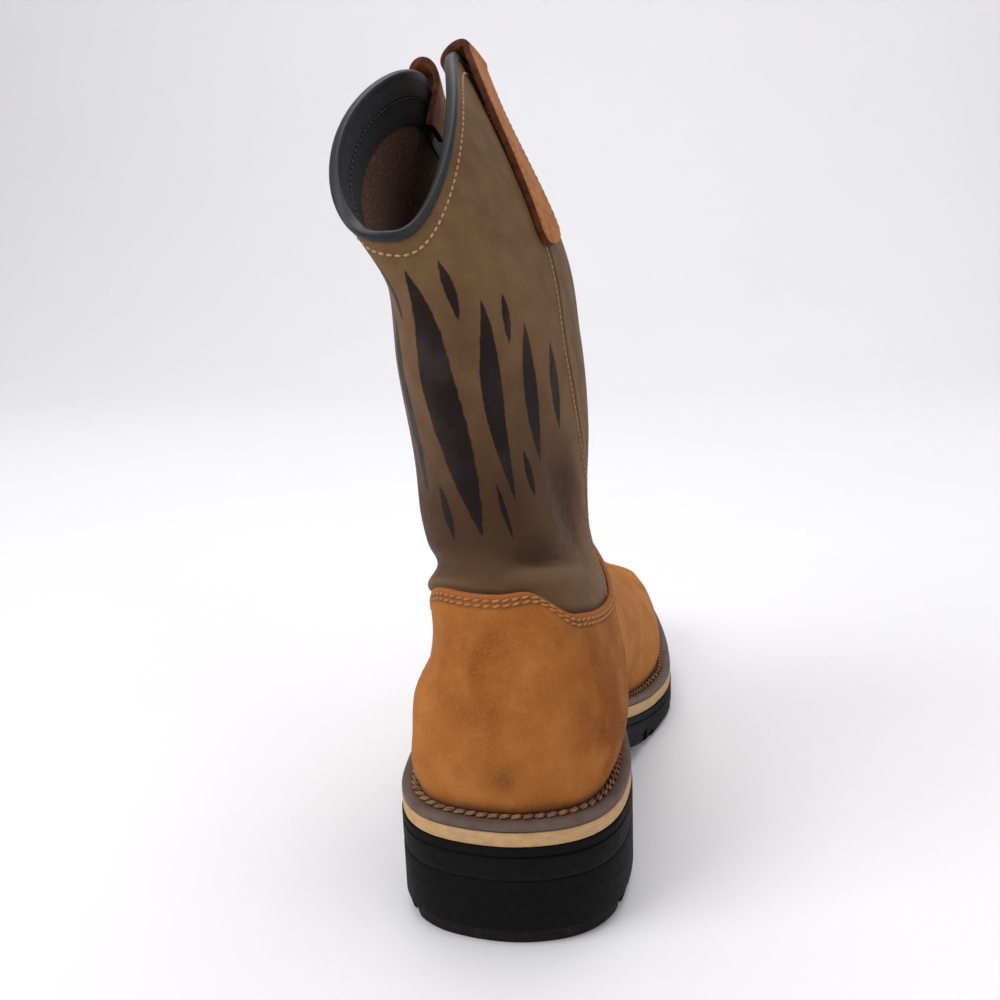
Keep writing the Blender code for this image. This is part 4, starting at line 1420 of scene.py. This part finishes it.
def half_columns(first: float, last: float, behind: int, ahead: int) -> np.ndarray:
    """Columns of one side, close together at the side seam.

    Args:
        first: First column, 0 at the back line.
        last: Last column, 2 at the front line.
        behind: Even steps from back line to seam.
        ahead: Even steps from seam to front line.

    Returns:
        Columns in order.
    """
    near = np.array([0.004, 0.008, 0.013, 0.019, 0.027, 0.038])
    even = np.concatenate([np.linspace(0.0, 0.95, behind), np.linspace(1.05, 2.0, ahead)])
    columns = np.concatenate([even, 1.0 - near, [1.0], 1.0 + near])
    columns = np.unique(np.round(columns, 6))
    return columns[(columns >= first) & (columns <= last)]


@dataclass
class Shaft:
    """Foot and shaft of the upper as one wall, with seam, creases, print and lining."""

    form: UpperForm
    behind: int = 60
    ahead: int = 62
    low_rows: int = 22
    high_rows: int = 124
    seam_trough: float = 0.55
    seam_trough_half: float = 0.7
    seam_ridge: float = 0.4
    seam_ridge_at: float = 2.0
    seam_ridge_half: float = 1.1
    stitch_press: float = 0.25
    collar_stitch_depth: float = 7.6
    seam_stitch_offset: float = 2.3
    back_reach: float = 80.0
    stitch_proud: float = 0.12
    # Strengths of the painted shade: in creases, along the seam and just above the counter.
    fold_shade: float = 0.45
    seam_shade_half: float = 0.75
    foot_shade: float = 0.8
    foot_shade_half: float = 2.6
    # Strengths of the painted highlight on fold ridges and on the ridge beside the seam.
    ridge_rub: float = 0.22
    seam_rub: float = 0.25
    seam_rub_at: float = 2.2
    seam_rub_half: float = 1.2

    def relief(self, grid: WallGrid) -> np.ndarray:
        """Height of folds, seam and stitch lines over the plain wall."""
        height = -crease_depth(grid.arc, grid.points[..., 2], SHAFT_CREASES)
        seam = np.abs(grid.seam)
        height -= self.seam_trough * bell(seam, self.seam_trough_half)
        height += self.seam_ridge * bell(seam - self.seam_ridge_at, self.seam_ridge_half)
        height -= self.stitch_press * bell(grid.drop - self.collar_stitch_depth, 1.2)
        return height * smooth_step(0.2, 4.0, grid.rise) * smooth_step(0.0, 3.0, grid.drop)

    def wear(self, grid: WallGrid) -> dict[str, np.ndarray]:
        """Numbers for the leather: painted shade in folds, seam, patches and above the counter, a painted
        highlight on ridges, and where the print lies.
        """
        folds = crease_depth(grid.arc, grid.points[..., 2], SHAFT_CREASES)
        # Painted shade in the creases and in the seam's trough.
        shade = np.clip(self.fold_shade * folds, 0.0, 0.75) + bell(grid.seam, self.seam_shade_half)
        # Painted shadow on the shaft just above the counter's top edge.
        foot = self.foot_shade * bell(grid.rise, self.foot_shade_half) * (grid.rise >= 0.0)
        flat = np.stack([grid.arc, np.zeros_like(grid.arc), grid.points[..., 2]], axis=-1)
        # Painted shade in the listed patches, mostly low on the shaft.
        patches = smudge_strength(flat, SHAFT_SHADES, 1.0)
        shade = np.maximum(np.maximum(shade, foot), patches)
        # Painted highlight on the ridges of the folds and beside the seam.
        rub = np.clip(-self.ridge_rub * folds, 0.0, 0.4)
        rub += self.seam_rub * bell(np.abs(grid.seam) - self.seam_rub_at, self.seam_rub_half)
        return {
            "fold": np.clip(shade, 0.0, 0.85),
            "rub": np.clip(rub, 0.0, 0.5),
            "arc": grid.arc,
            "height": grid.points[..., 2],
        }

    def wall(self) -> bpy.types.Object:
        """Leather wall with its lining."""
        columns = half_columns(0.0, 2.0, self.behind, self.ahead)
        low = np.linspace(0.0, 1.0, self.low_rows + 1)
        high = np.linspace(0.0, 1.0, self.high_rows + 1)[1:]
        plan = RowPlan(
            np.concatenate([low, np.ones(len(high))]),
            np.zeros(len(low) + len(high)),
            np.concatenate([np.zeros(len(low)), high]),
        )
        grid = self.form.grid(Span.RING, columns, plan)
        relief = self.relief(grid)
        materials = [ShaftLeather().material(), LiningSuede().material()]
        inner = grid.offset(relief - WALL_THICKNESS)
        return shell_piece("shaft_wall", inner, grid.offset(relief), True, materials, self.wear(grid))

    def rows_at_seam(self) -> list[tuple[np.ndarray, np.ndarray, bool]]:
        """Stitch rows beside the side seams, from the edge of the counter to the collar."""
        high = np.linspace(0.012, 0.955, 160)
        plan = RowPlan(np.ones(len(high)), np.zeros(len(high)), high)
        columns = np.array([1.0 - self.seam_stitch_offset / self.back_reach, 1.0])
        rows = []
        for side in Side:
            grid = self.form.side_grid(side, columns, plan)
            lift = self.relief(grid) + self.stitch_proud
            rows.append((grid.offset(lift)[:, 0], grid.normals[:, 0], False))
        return rows

    def row_at_collar(self) -> list[tuple[np.ndarray, np.ndarray, bool]]:
        """Stitch row under the collar binding, all round."""
        columns = half_columns(0.0, 2.0, self.behind, self.ahead)
        lines = []
        for side in Side:
            s = self.form.rim_places(side, columns)
            v = self.form.ring_below_rim(side, s, self.collar_stitch_depth)
            normals = self.form.normal(side, s, v)
            points = self.form.point(side, s, v) + normals * (self.stitch_proud - self.stitch_press)
            lines.append((points, normals))
        (a, up_a), (b, up_b) = lines
        return [(np.vstack([a, b[-2:0:-1]]), np.vstack([up_a, up_b[-2:0:-1]]), True)]

    def build(self, stitcher: Stitcher) -> None:
        """Make and hand over the wall and its stitches."""
        hand_over(self.wall(), "taupe_leather", "upper")
        thread = FINE_THREAD.material()
        seam_rows = stitcher.sew("seam_stitches", self.rows_at_seam(), SEAM_STITCH, thread)
        hand_over(seam_rows, "taupe_leather")
        collar_row = stitcher.sew("collar_stitches", self.row_at_collar(), COLLAR_STITCH, thread)
        hand_over(collar_row, "taupe_leather")


@dataclass
class FootPanels:
    """Counter and vamp: nubuck panels over the foot, with their stitch rows."""

    form: UpperForm
    behind: int = 70
    ahead: int = 84
    low_rows: int = 52
    band: float = 12.0
    bottom_lift: float = 0.6
    edge_round: float = 0.9
    seam_half_gap: float = 0.15
    row_depths: tuple[float, float] = (2.3, 4.2)
    press: float = 0.32
    press_half: float = 0.75
    seam_row_offset: float = 1.9
    back_reach: float = 88.0
    stitch_proud: float = 0.12
    # Strengths of painted shade along the seam, painted shadow under the stitch rows and painted shadow
    # along the bottom.
    seam_dirt: float = 1.3
    row_dirt: float = 0.75
    foot_dirt: float = 0.8
    foot_dirt_half: float = 3.2

    def plan(self) -> RowPlan:
        """Rows of a panel, close together under its top edge."""
        low = np.linspace(0.0, 1.0, self.low_rows)
        top = np.array([
            10.5, 9.0, 7.6, 6.5, 5.8, 5.2, 4.7, 4.2, 3.75, 3.25, 2.75, 2.3, 1.85, 1.4, 1.0, 0.6, 0.3, 0.0,
        ])
        return RowPlan(
            np.concatenate([low, np.ones(len(top))]),
            np.concatenate([self.band * low, top]),
            np.zeros(len(low) + len(top)),
        )

    def relief(self, grid: WallGrid) -> np.ndarray:
        """Height of the panel's outside over the wall, with pressed rows and rounded edges."""
        below = -grid.rise
        seam = np.abs(grid.seam)
        height = np.full(below.shape, GAP + OVERLAY_THICKNESS)
        for depth in self.row_depths:
            height -= self.press * bell(below - depth, self.press_half)
        height -= self.press * bell(seam - self.seam_row_offset, self.press_half)
        for distance, amount in ((below, 0.75), (seam, 1.0)):
            part = np.clip(1.0 - distance / self.edge_round, 0.0, 1.0)
            height -= amount * (1.0 - np.sqrt(1.0 - part ** 2 * 0.98))
        return height

    def wear(self, grid: WallGrid) -> dict[str, np.ndarray]:
        """Numbers for the nubuck: smudges that are partly painted shade, the heel's blotch with painted
        shade along the seam, under the stitch rows and along the feather line, and the top band.
        """
        # The heel's blotch is a real stain; the seam term is painted shade along the seam with the vamp.
        stain_and_shade = smudge_strength(grid.points, [HEEL_BLOTCH], 60.0) + self.seam_dirt * bell(grid.seam, 0.8)
        for depth in self.row_depths:
            # Painted shadow just under each stitch row.
            stain_and_shade += self.row_dirt * bell(-grid.rise - depth - 0.5, 0.7)
        height = grid.points[..., 2]
        # Painted contact shadow along the feather line.
        stain_and_shade += self.foot_dirt * bell(height - height[:1], self.foot_dirt_half)
        return {
            # Smudges, partly painted shade on the medial side.
            "smudge": smudge_strength(grid.points, COUNTER_SMUDGES_AND_SHADE, 70.0),
            "bruise": np.clip(stain_and_shade, 0.0, 1.0),
            "band": 0.6 * smooth_step(-2.6, -1.6, grid.rise),
        }

    def panel(self, name: str, span: Span, columns: np.ndarray,
              material: bpy.types.Material) -> bpy.types.Object:
        """One panel as a closed sheet of leather.

        Args:
            name: Name of the piece.
            span: Stretch of the wall.
            columns: Columns of one side.
            material: Leather.

        Returns:
            The object.
        """
        grid = self.form.grid(span, columns, self.plan())
        points = grid.points
        normals = grid.normals
        normals[0, :, 2] = 0.0
        normals[0] = unit(normals[0])
        points[0] += unit(points[1] - points[0]) * self.bottom_lift
        for border, inside in ((0, 1), (-1, -2)):
            points[:, border] += unit(points[:, inside] - points[:, border]) * self.seam_half_gap
        outer = grid.offset(self.relief(grid))
        inner = grid.offset(np.full(grid.arc.shape, GAP))
        return shell_piece(name, inner, outer, False, [material], self.wear(grid))

    def edge_rows(self) -> list[tuple[np.ndarray, np.ndarray, bool]]:
        """Stitch rows under the top edge, all round the boot."""
        columns = half_columns(0.0, 2.0, self.behind, self.ahead)
        rows = []
        for depth in self.row_depths:
            plan = RowPlan(np.ones(1), np.array([depth]), np.zeros(1))
            grid = self.form.grid(Span.RING, columns, plan)
            lift = GAP + OVERLAY_THICKNESS - self.press + self.stitch_proud
            rows.append((grid.offset(np.full(grid.arc.shape, lift))[0], grid.normals[0], True))
        return rows

    def seam_rows(self) -> list[tuple[np.ndarray, np.ndarray, bool]]:
        """Stitch row on the counter, beside its seam with the vamp."""
        low = np.linspace(0.06, 1.0, 70)
        plan = RowPlan(low, np.full(len(low), self.row_depths[1] + 2.0) * low, np.zeros(len(low)))
        columns = np.array([1.0 - self.seam_row_offset / self.back_reach, 1.0])
        rows = []
        for side in Side:
            grid = self.form.side_grid(side, columns, plan)
            lift = GAP + OVERLAY_THICKNESS - self.press + self.stitch_proud
            rows.append((grid.offset(np.full(grid.arc.shape, lift))[:, 0], grid.normals[:, 0], False))
        return rows

    def build(self, stitcher: Stitcher) -> None:
        """Make and hand over the panels and their stitches."""
        leather = Nubuck().material()
        back = half_columns(0.0, 1.0, self.behind, self.ahead)
        front = half_columns(1.0, 2.0, self.behind, self.ahead)
        hand_over(self.panel("heel_counter", Span.BACK, back, leather), "tan_nubuck", "counter")
        hand_over(self.panel("foot_vamp", Span.FRONT, front, leather), "tan_nubuck", "vamp")
        thread = PANEL_THREAD.material()
        edge = stitcher.sew("panel_edge_stitches", self.edge_rows(), PANEL_EDGE_STITCH, thread)
        hand_over(edge, "tan_nubuck")
        seam = stitcher.sew("panel_seam_stitches", self.seam_rows(), PANEL_SEAM_STITCH, thread)
        hand_over(seam, "tan_nubuck")


@dataclass
class Collar:
    """Binding over the collar's edge and the facing band inside it."""

    form: UpperForm
    behind: int = 90
    ahead: int = 90
    outer_depth: float = 2.6
    facing_depth: float = 18.0
    thickness: float = 0.6
    rise: float = 1.0
    facing_row_depth: float = 9.0

    def loop(self, depth: float, offset: float, lift: float) -> np.ndarray:
        """Closed loop at a depth below the rim, an offset from the wall and a lift along it."""
        columns = half_columns(0.0, 2.0, self.behind, self.ahead)
        lines = []
        for side in Side:
            s = self.form.rim_places(side, columns)
            v = self.form.ring_below_rim(side, s, depth)
            _, upward = self.form.slopes(side, s, v)
            points = self.form.point(side, s, v) + self.form.normal(side, s, v) * offset
            lines.append(points + unit(upward) * lift)
        return np.vstack([lines[0], lines[1][-2:0:-1]])

    def build(self, stitcher: Stitcher) -> None:
        """Make and hand over the binding and its stitch row."""
        inner = -WALL_THICKNESS - GAP - self.thickness
        outer = GAP + self.thickness
        middle = 0.5 * (outer + inner)
        half = 0.5 * (outer - inner)
        profile = [(self.outer_depth, 0.2, 0.0), (self.outer_depth, 0.75 * outer, 0.0)]
        profile += [(self.outer_depth - 0.5, outer, 0.0), (0.5 * self.outer_depth, outer + 0.12, 0.0)]
        top = GAP + self.rise
        for turn in np.linspace(0.0, math.pi, 11):
            profile.append((0.0, middle + half * math.cos(turn), top * math.sin(turn) ** 0.8))
        roll_end = len(profile)
        profile += [(depth, inner, 0.0) for depth in (2.0, 4.5, 7.5, 8.2)]
        profile += [(depth, inner + 0.45, 0.0) for depth in (8.6, 12.0, 16.0)]
        profile += [(self.facing_depth, inner + 0.5, 0.0), (self.facing_depth, inner + 0.7, 0.0)]
        profile += [(depth, -WALL_THICKNESS - 0.1, 0.0) for depth in (12.0, 6.0, 1.0)]
        profile += [(0.0, -WALL_THICKNESS, 0.2), (0.0, 0.1, 0.2)]
        loops = [self.loop(*row) for row in profile]
        slots = [0 if k < roll_end else 1 for k in range(len(loops))]
        finishes = [BINDING_BLACK.material(), FACING_BLACK.material()]
        hand_over(ring_piece("collar_roll", loops, finishes, slots), "black_binding", "collar_binding")
        line = self.loop(self.facing_row_depth, inner - 0.1, 0.0)
        centre = line.mean(axis=0)
        inward = unit((centre - line) * np.array([1.0, 1.0, 0.0]))
        thread = DARK_THREAD.material()
        row = stitcher.sew("facing_stitches", [(line, inward, True)], FACING_STITCH, thread)
        hand_over(row, "black_binding")


@dataclass
class PullStrap:
    """Leather pull strap: up the outside, in a loop over the rim and down the inside."""

    form: UpperForm
    side: Side
    name: str
    node: str
    forward: float
    loop_height: float
    loop_bulge: float = 0.2
    width: float = 25.0
    thickness: float = 2.4
    tip_length: float = 11.0
    across_count: int = 15
    outer_rows: int = 54
    loop_rows: int = 22
    inner_rows: int = 36
    row_inset: float = 2.6
    sewn_from: int = 3
    loose_rows: int = 14
    stitch_proud: float = 0.1

    def leg(self, stations: Sequence[StrapStation], count: int, across: np.ndarray) -> np.ndarray:
        """Points of one leg, along the wall.

        Args:
            stations: Depths and offsets of the leg's middle.
            count: Rows along the leg.
            across: Places across the strap, from -1 to 1.

        Returns:
            Points, row by column.
        """
        table = np.array(stations)
        where = np.linspace(0.0, len(table) - 1.0, count)
        depths, offsets = curve_value(table[:, 0], where), curve_value(table[:, 1], where)
        rows = []
        for depth, offset in zip(depths, offsets):
            rim = np.array([self.form.rim])
            rim_seam = curve_value(self.form.seam_places[self.side], rim)
            ring = self.form.ring_below_rim(self.side, rim_seam, depth)
            seam = curve_value(self.form.seam_places[self.side], ring)
            around, _ = self.form.slopes(self.side, seam, ring)
            half = 0.5 * self.width
            if offset > 0.0:
                end = np.clip((stations[0].depth - depth) / self.tip_length, 0.0, 1.0)
                half *= 0.28 + 0.72 * math.sqrt(1.0 - (1.0 - end) ** 2)
            place = seam + (self.forward + across * half) / np.linalg.norm(around)
            rings = np.full_like(place, ring[0])
            normals = self.form.normal(self.side, place, rings)
            rows.append(self.form.point(self.side, place, rings) + normals * offset)
        return np.array(rows)

    def sheet(self) -> np.ndarray:
        """Middle surface of the strap, row by column."""
        across = np.linspace(-1.0, 1.0, self.across_count)
        outside = self.leg(STRAP_OUTER_LEG, self.outer_rows, across)
        inside = self.leg(STRAP_INNER_LEG, self.inner_rows, across)
        turns = np.linspace(0.0, math.pi, self.loop_rows + 1)[1:-1]
        middle, reach = 0.5 * (outside[-1] + inside[0]), 0.5 * (outside[-1] - inside[0])
        lift = np.array([0.0, 0.0, self.loop_height])
        loop = []
        for turn in turns:
            bulge = 1.0 + self.loop_bulge * math.sin(turn)
            loop.append(middle + reach * math.cos(turn) * bulge + lift * math.sin(turn))
        return np.concatenate([outside, loop, inside])

    def thick(self, sheet: np.ndarray) -> bpy.types.Object:
        """Strap of full thickness, with rough cut edges that are softened a little."""
        faces = grid_faces(*sheet.shape[:2], wrap=False)
        face, edge = STRAP_FACE.material(), STRAP_EDGE.material()
        strap = mesh_piece(self.name, sheet, faces, [face, edge])
        body = strap.modifiers.new("thickness", "SOLIDIFY")
        body.thickness = self.thickness * MM
        body.offset = 0.0
        body.use_even_offset = True
        body.material_offset_rim = 1
        soft = strap.modifiers.new("softened edge", "BEVEL")
        soft.width = 0.35 * MM
        soft.segments = 2
        soft.limit_method = "ANGLE"
        soft.angle_limit = math.radians(50.0)
        apply_modifiers(strap)
        return strap

    def stitch_lines(self, sheet: np.ndarray) -> list[tuple[np.ndarray, np.ndarray, bool]]:
        """Stitch rows along both edges of the outer leg."""
        columns = sheet.shape[1]
        down = np.gradient(sheet, axis=0)
        aside = np.gradient(sheet, axis=1)
        normals = unit(np.cross(aside, down))
        if self.side * normals[0, columns // 2, 0] < 0.0:
            normals = -normals
        share = 1.0 - 2.0 * self.row_inset / self.width
        picks = [int(round((columns - 1) * 0.5 * (1.0 + sign * share))) for sign in (-1.0, 1.0)]
        sewn = slice(self.sewn_from, self.outer_rows - self.loose_rows)
        lines = [(sheet[sewn, k], normals[sewn, k]) for k in picks]
        return [(line + up * (0.5 * self.thickness + self.stitch_proud), up, False) for line, up in lines]

    def build(self, stitcher: Stitcher) -> None:
        """Make and hand over the strap and its stitches."""
        sheet = self.sheet()
        hand_over(self.thick(sheet), "rust_strap", self.node)
        thread = PANEL_THREAD.material()
        row = stitcher.sew(self.name + "_stitches", self.stitch_lines(sheet), STRAP_STITCH, thread)
        hand_over(row, "rust_strap")


def halfway(places: Sequence[float]) -> list[float]:
    """Lengths halfway between neighbouring grooves."""
    return [0.5 * (here + there) for here, there in zip(places, places[1:])]


@dataclass
class Sole:
    """Heel, outsole, midsole and welt with its thick stitches."""

    form: SoleForm
    stations: int = 150
    heel_stations: int = 72
    layer_inset: float = 0.4
    welt_inner_inset: float = 12.6
    bevel: float = 2.2
    heel_bevel_height: float = 5.5
    side_line_drop: float = 3.7
    side_line_depth: float = 0.8
    groove_width: float = 6.5
    groove_depth: float = 4.5
    groove_reach: float = 140.0
    groove_slant: float = math.radians(8.0)
    sipe_width: float = 1.6
    sipe_depth: float = 2.2
    heel_grooves: tuple[float, ...] = (22.0, 44.0, 66.0)
    forefoot_grooves: tuple[float, ...] = (152.0, 174.0, 196.0, 218.0, 240.0, 262.0, 284.0)
    stitch_inset: float = 5.5

    def loop(self, inset: np.ndarray, level: Callable[[np.ndarray], np.ndarray], rise: float,
             s: np.ndarray) -> np.ndarray:
        """Loop of the sole's side.

        Args:
            inset: How far in from the edge.
            level: Function of length that gives the base height.
            rise: Height over it.
            s: Places round the half outline.

        Returns:
            Points.
        """
        plan = self.form.loop(inset, s)
        return np.column_stack([plan, level(plan[:, 1]) + rise])

    def cut(self, piece: bpy.types.Object, places: Sequence[float], width: float, depth: float) -> None:
        """Cut grooves across the tread of a piece, slanting to and fro.

        Args:
            piece: Piece to cut.
            places: Lengths of the grooves.
            width: Width of a groove.
            depth: Depth of a groove.
        """
        for number, y in enumerate(places):
            base = float(self.form.under(np.array([y]))[0]) if y > HEEL_BREAST_Y else 0.0
            work = bmesh.new()
            bmesh.ops.create_cube(work, size=1.0)
            place = Matrix.Translation(Vector((np.array([0.0, y, base]) + ROW_SHIFT) * MM))
            place @= Matrix.Rotation(self.groove_slant * (-1) ** number, 4, "Z")
            place @= Matrix.Diagonal((self.groove_reach * MM, width * MM, 2.0 * depth * MM, 1.0))
            bmesh.ops.transform(work, matrix=place, verts=work.verts)
            mesh = bpy.data.meshes.new("groove")
            work.to_mesh(mesh)
            work.free()
            cutter = bpy.data.objects.new("groove", mesh)
            bpy.context.scene.collection.objects.link(cutter)
            tool = piece.modifiers.new("groove", "BOOLEAN")
            tool.operation = "DIFFERENCE"
            tool.solver = "EXACT"
            tool.object = cutter
        cutters = [tool.object for tool in piece.modifiers]
        apply_modifiers(piece)
        for cutter in cutters:
            bpy.data.objects.remove(cutter, do_unlink=True)

    def heel(self, rubber: bpy.types.Material) -> None:
        """Heel block with its worn bottom band."""
        s = np.linspace(0.0, length_to_round(HEEL_BREAST_Y / SOLE_LENGTH), self.heel_stations)
        top = HEEL_BLOCK_HEIGHT - GAP
        band = self.heel_bevel_height
        profile = [(self.bevel, 0.0), (1.6, 0.7), (1.05, 2.4), (0.62, band - 0.4)]
        profile += [(0.3, band), (0.0, band + 0.5)]
        profile += [(0.0, 0.5 * (band + top)), (0.0, top - 0.9), (0.25, top - 0.25), (0.5, top)]
        loops = [self.loop(inset, np.zeros_like, height, s) for inset, height in profile]
        worn = [1.0 if height < band + 0.1 else 0.0 for _, height in profile]
        numbers = {"band": np.repeat(worn, len(loops[0]))}
        piece = loft_piece("heel_rubber", loops, rubber, numbers)
        self.cut(piece, self.heel_grooves, self.groove_width, self.groove_depth)
        self.cut(piece, halfway(self.heel_grooves), self.sipe_width, self.sipe_depth)
        hand_over(piece, "black_rubber", "heel_block")

    def outsole(self, rubber: bpy.types.Material) -> None:
        """Outsole with its bevelled edge, side line and lugs."""
        s = np.linspace(0.0, 1.0, self.stations)
        bevel = np.where(round_to_length(s) * SOLE_LENGTH < HEEL_BREAST_Y, self.layer_inset, self.bevel)
        under, over, line = self.form.under, self.form.over, self.side_line_drop
        profile = [
            (bevel, under, 0.0), (0.42 * bevel, under, 0.9), (0.0, under, 2.4),
            (0.0, over, -line - 0.7), (0.45 * self.side_line_depth, over, -line - 0.4),
            (self.side_line_depth, over, -line), (0.45 * self.side_line_depth, over, -line + 0.4),
            (0.0, over, -line + 0.7), (0.0, over, -0.7), (0.15, over, -0.25), (0.45, over, 0.0),
        ]
        loops = [self.loop(*row, s) for row in profile]
        numbers = {"band": np.repeat([0.7, 0.5, 0.15] + [0.0] * (len(loops) - 3), len(loops[0]))}
        piece = loft_piece("outsole_rubber", loops, rubber, numbers)
        self.cut(piece, self.forefoot_grooves, self.groove_width, self.groove_depth)
        self.cut(piece, halfway(self.forefoot_grooves), self.sipe_width, self.sipe_depth)
        hand_over(piece, "black_rubber", "outsole")

    def midsole(self) -> None:
        """Tan midsole layer."""
        s = np.linspace(0.0, 1.0, self.stations)
        inset, top = self.layer_inset, MIDSOLE_THICKNESS - GAP
        profile = [(inset + 0.35, GAP), (inset + 0.1, GAP + 0.3), (inset, GAP + 0.8)]
        profile += [(inset, top - 0.8), (inset + 0.1, top - 0.3), (inset + 0.35, top)]
        loops = [self.loop(a, self.form.over, rise, s) for a, rise in profile]
        hand_over(loft_piece("midsole_layer", loops, MIDSOLE_TAN.material()), "tan_midsole", "midsole")

    def welt(self, stitcher: Stitcher) -> None:
        """Welt strip with a shallow channel and thick twisted stitches in it."""
        s = np.linspace(0.0, 1.0, self.stations)
        bottom = MIDSOLE_THICKNESS + GAP
        top = bottom + WELT_THICKNESS
        inset, channel = self.layer_inset, self.stitch_inset
        profile = [(inset + 0.3, bottom), (inset, bottom + 0.4), (inset, top - 0.9)]
        profile += [(inset + 0.25, top - 0.3), (inset + 0.9, top), (channel - 2.0, top)]
        profile += [(channel - 1.1, top - 0.45), (channel, top - 0.6)]
        profile += [(channel + 1.1, top - 0.45), (channel + 1.7, top), (self.welt_inner_inset, top)]
        profile += [(self.welt_inner_inset, bottom)]
        loops = [self.loop(a, self.form.over, rise, s) for a, rise in profile]
        hand_over(ring_piece("welt_strip", loops, [WELT_LEATHER.material()]), "mauve_welt", "welt")
        line = self.loop(channel, self.form.over, top + 0.25, s)
        up = np.tile([0.0, 0.0, 1.0], (len(line), 1))
        row = stitcher.sew("welt_stitches", [(line, up, True)], WELT_STITCH, WELT_THREAD.material())
        hand_over(row, "mauve_welt")

    def build(self, stitcher: Stitcher) -> None:
        """Make and hand over the layers of the sole."""
        rubber = MouldedRubber().material()
        self.heel(rubber)
        self.outsole(rubber)
        self.midsole()
        self.welt(stitcher)


@dataclass
class Studio:
    """Pale floor, soft light and the camera at the photograph's angle to the boot."""

    eye: tuple[float, float, float] = (61.0, -370.0, 266.0)
    pitch_deg: float = 14.0
    focal_px: float = 1200.0
    image_px: float = 1000.0
    centre_px: tuple[float, float] = (320.0, 524.0)
    sensor_mm: float = 36.0
    floor_half: float = 2.4
    floor_depth: float = 1.6
    bend_radius: float = 0.6
    world_strength: float = 0.43
    aim_height: float = 0.14

    def camera(self) -> None:
        """Camera that keeps its place and turns until the one boot is in the middle."""
        data = bpy.data.cameras.new("boot_camera")
        data.sensor_width = self.sensor_mm
        data.lens = self.sensor_mm * self.focal_px / self.image_px
        data.clip_start = 0.01
        camera = bpy.data.objects.new("boot_camera", data)
        level = Matrix.Rotation(math.radians(90.0 - self.pitch_deg), 3, "X")
        half = 0.5 * self.image_px
        aim = Vector((self.centre_px[0] - half, half - self.centre_px[1], -self.focal_px))
        turn = Vector((0.0, 0.0, -1.0)).rotation_difference(aim.normalized()).to_matrix()
        place = Vector((np.array(self.eye) + ROW_SHIFT) * MM)
        camera.matrix_world = Matrix.Translation(place) @ (level @ turn).to_4x4()
        bpy.context.scene.collection.objects.link(camera)
        bpy.context.scene.camera = camera

    def floor(self) -> None:
        """Floor that bends up into a backdrop."""
        depth, radius, half = self.floor_depth, self.bend_radius, self.floor_half
        line = [(-half, 0.0), (depth - radius, 0.0)]
        for turn in np.linspace(0.0, 0.5 * math.pi, 13)[1:]:
            line.append((depth - radius + radius * math.sin(turn), radius - radius * math.cos(turn)))
        line.append((depth, half))
        points = [(x, y, z) for y, z in line for x in (-half, half)]
        faces = [(2 * k, 2 * k + 1, 2 * k + 3, 2 * k + 2) for k in range(len(line) - 1)]
        mesh = bpy.data.meshes.new("studio_floor")
        mesh.from_pydata(points, [], faces)
        mesh.materials.append(FLOOR_WHITE.material())
        mesh.shade_smooth()
        floor = bpy.data.objects.new("studio_floor", mesh)
        bpy.context.scene.collection.objects.link(floor)

    def lamp(self, name: str, place: tuple[float, float, float], size: float, watts: float) -> None:
        """Soft square lamp aimed at the boot.

        Args:
            name: Name of the lamp.
            place: Where it hangs, in metres.
            size: Side of the square.
            watts: Power.
        """
        data = bpy.data.lights.new(name, "AREA")
        data.size = size
        data.energy = watts
        lamp = bpy.data.objects.new(name, data)
        lamp.location = place
        aim = Vector((0.0, 0.0, self.aim_height)) - Vector(place)
        lamp.rotation_euler = aim.to_track_quat("-Z", "Y").to_euler()
        bpy.context.scene.collection.objects.link(lamp)

    def build(self) -> None:
        """Set up floor, light and camera."""
        self.floor()
        self.lamp("key_lamp", (-0.95, -0.75, 1.15), 0.9, 11.0)
        self.lamp("fill_lamp", (1.1, -0.7, 0.9), 1.2, 3.0)
        self.lamp("top_lamp", (0.0, 0.4, 1.7), 1.5, 16.0)
        world = bpy.data.worlds.new("studio_world")
        world.use_nodes = True
        sky = world.node_tree.nodes["Background"]
        sky.inputs["Color"].default_value = (*linear(250, 250, 255), 1.0)
        sky.inputs["Strength"].default_value = self.world_strength
        bpy.context.scene.world = world
        bpy.context.scene.view_settings.view_transform = "Standard"
        self.camera()


def main() -> None:
    """Build the boot's pieces in order and set up the studio."""
    logging.basicConfig(level=logging.INFO, format="%(name)s %(message)s")
    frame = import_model()
    sole_form = SoleForm()
    upper_form = UpperForm(sole_form)
    stitcher = Stitcher()
    Sole(sole_form).build(stitcher)
    Shaft(upper_form).build(stitcher)
    FootPanels(upper_form).build(stitcher)
    Collar(upper_form).build(stitcher)
    lateral = PullStrap(upper_form, Side.LATERAL, "strap_lateral", "pull_strap_lateral",
                        forward=7.0, loop_height=9.5)
    medial = PullStrap(upper_form, Side.MEDIAL, "strap_medial", "pull_strap_medial",
                       forward=4.0, loop_height=4.2)
    for strap in (lateral, medial):
        strap.build(stitcher)
    insole = frame["nodes"]["insole"]
    insole.data.materials.clear()
    insole.data.materials.append(INSOLE_SUEDE.material())
    Studio().build()


if __name__ == "__main__":
    main()
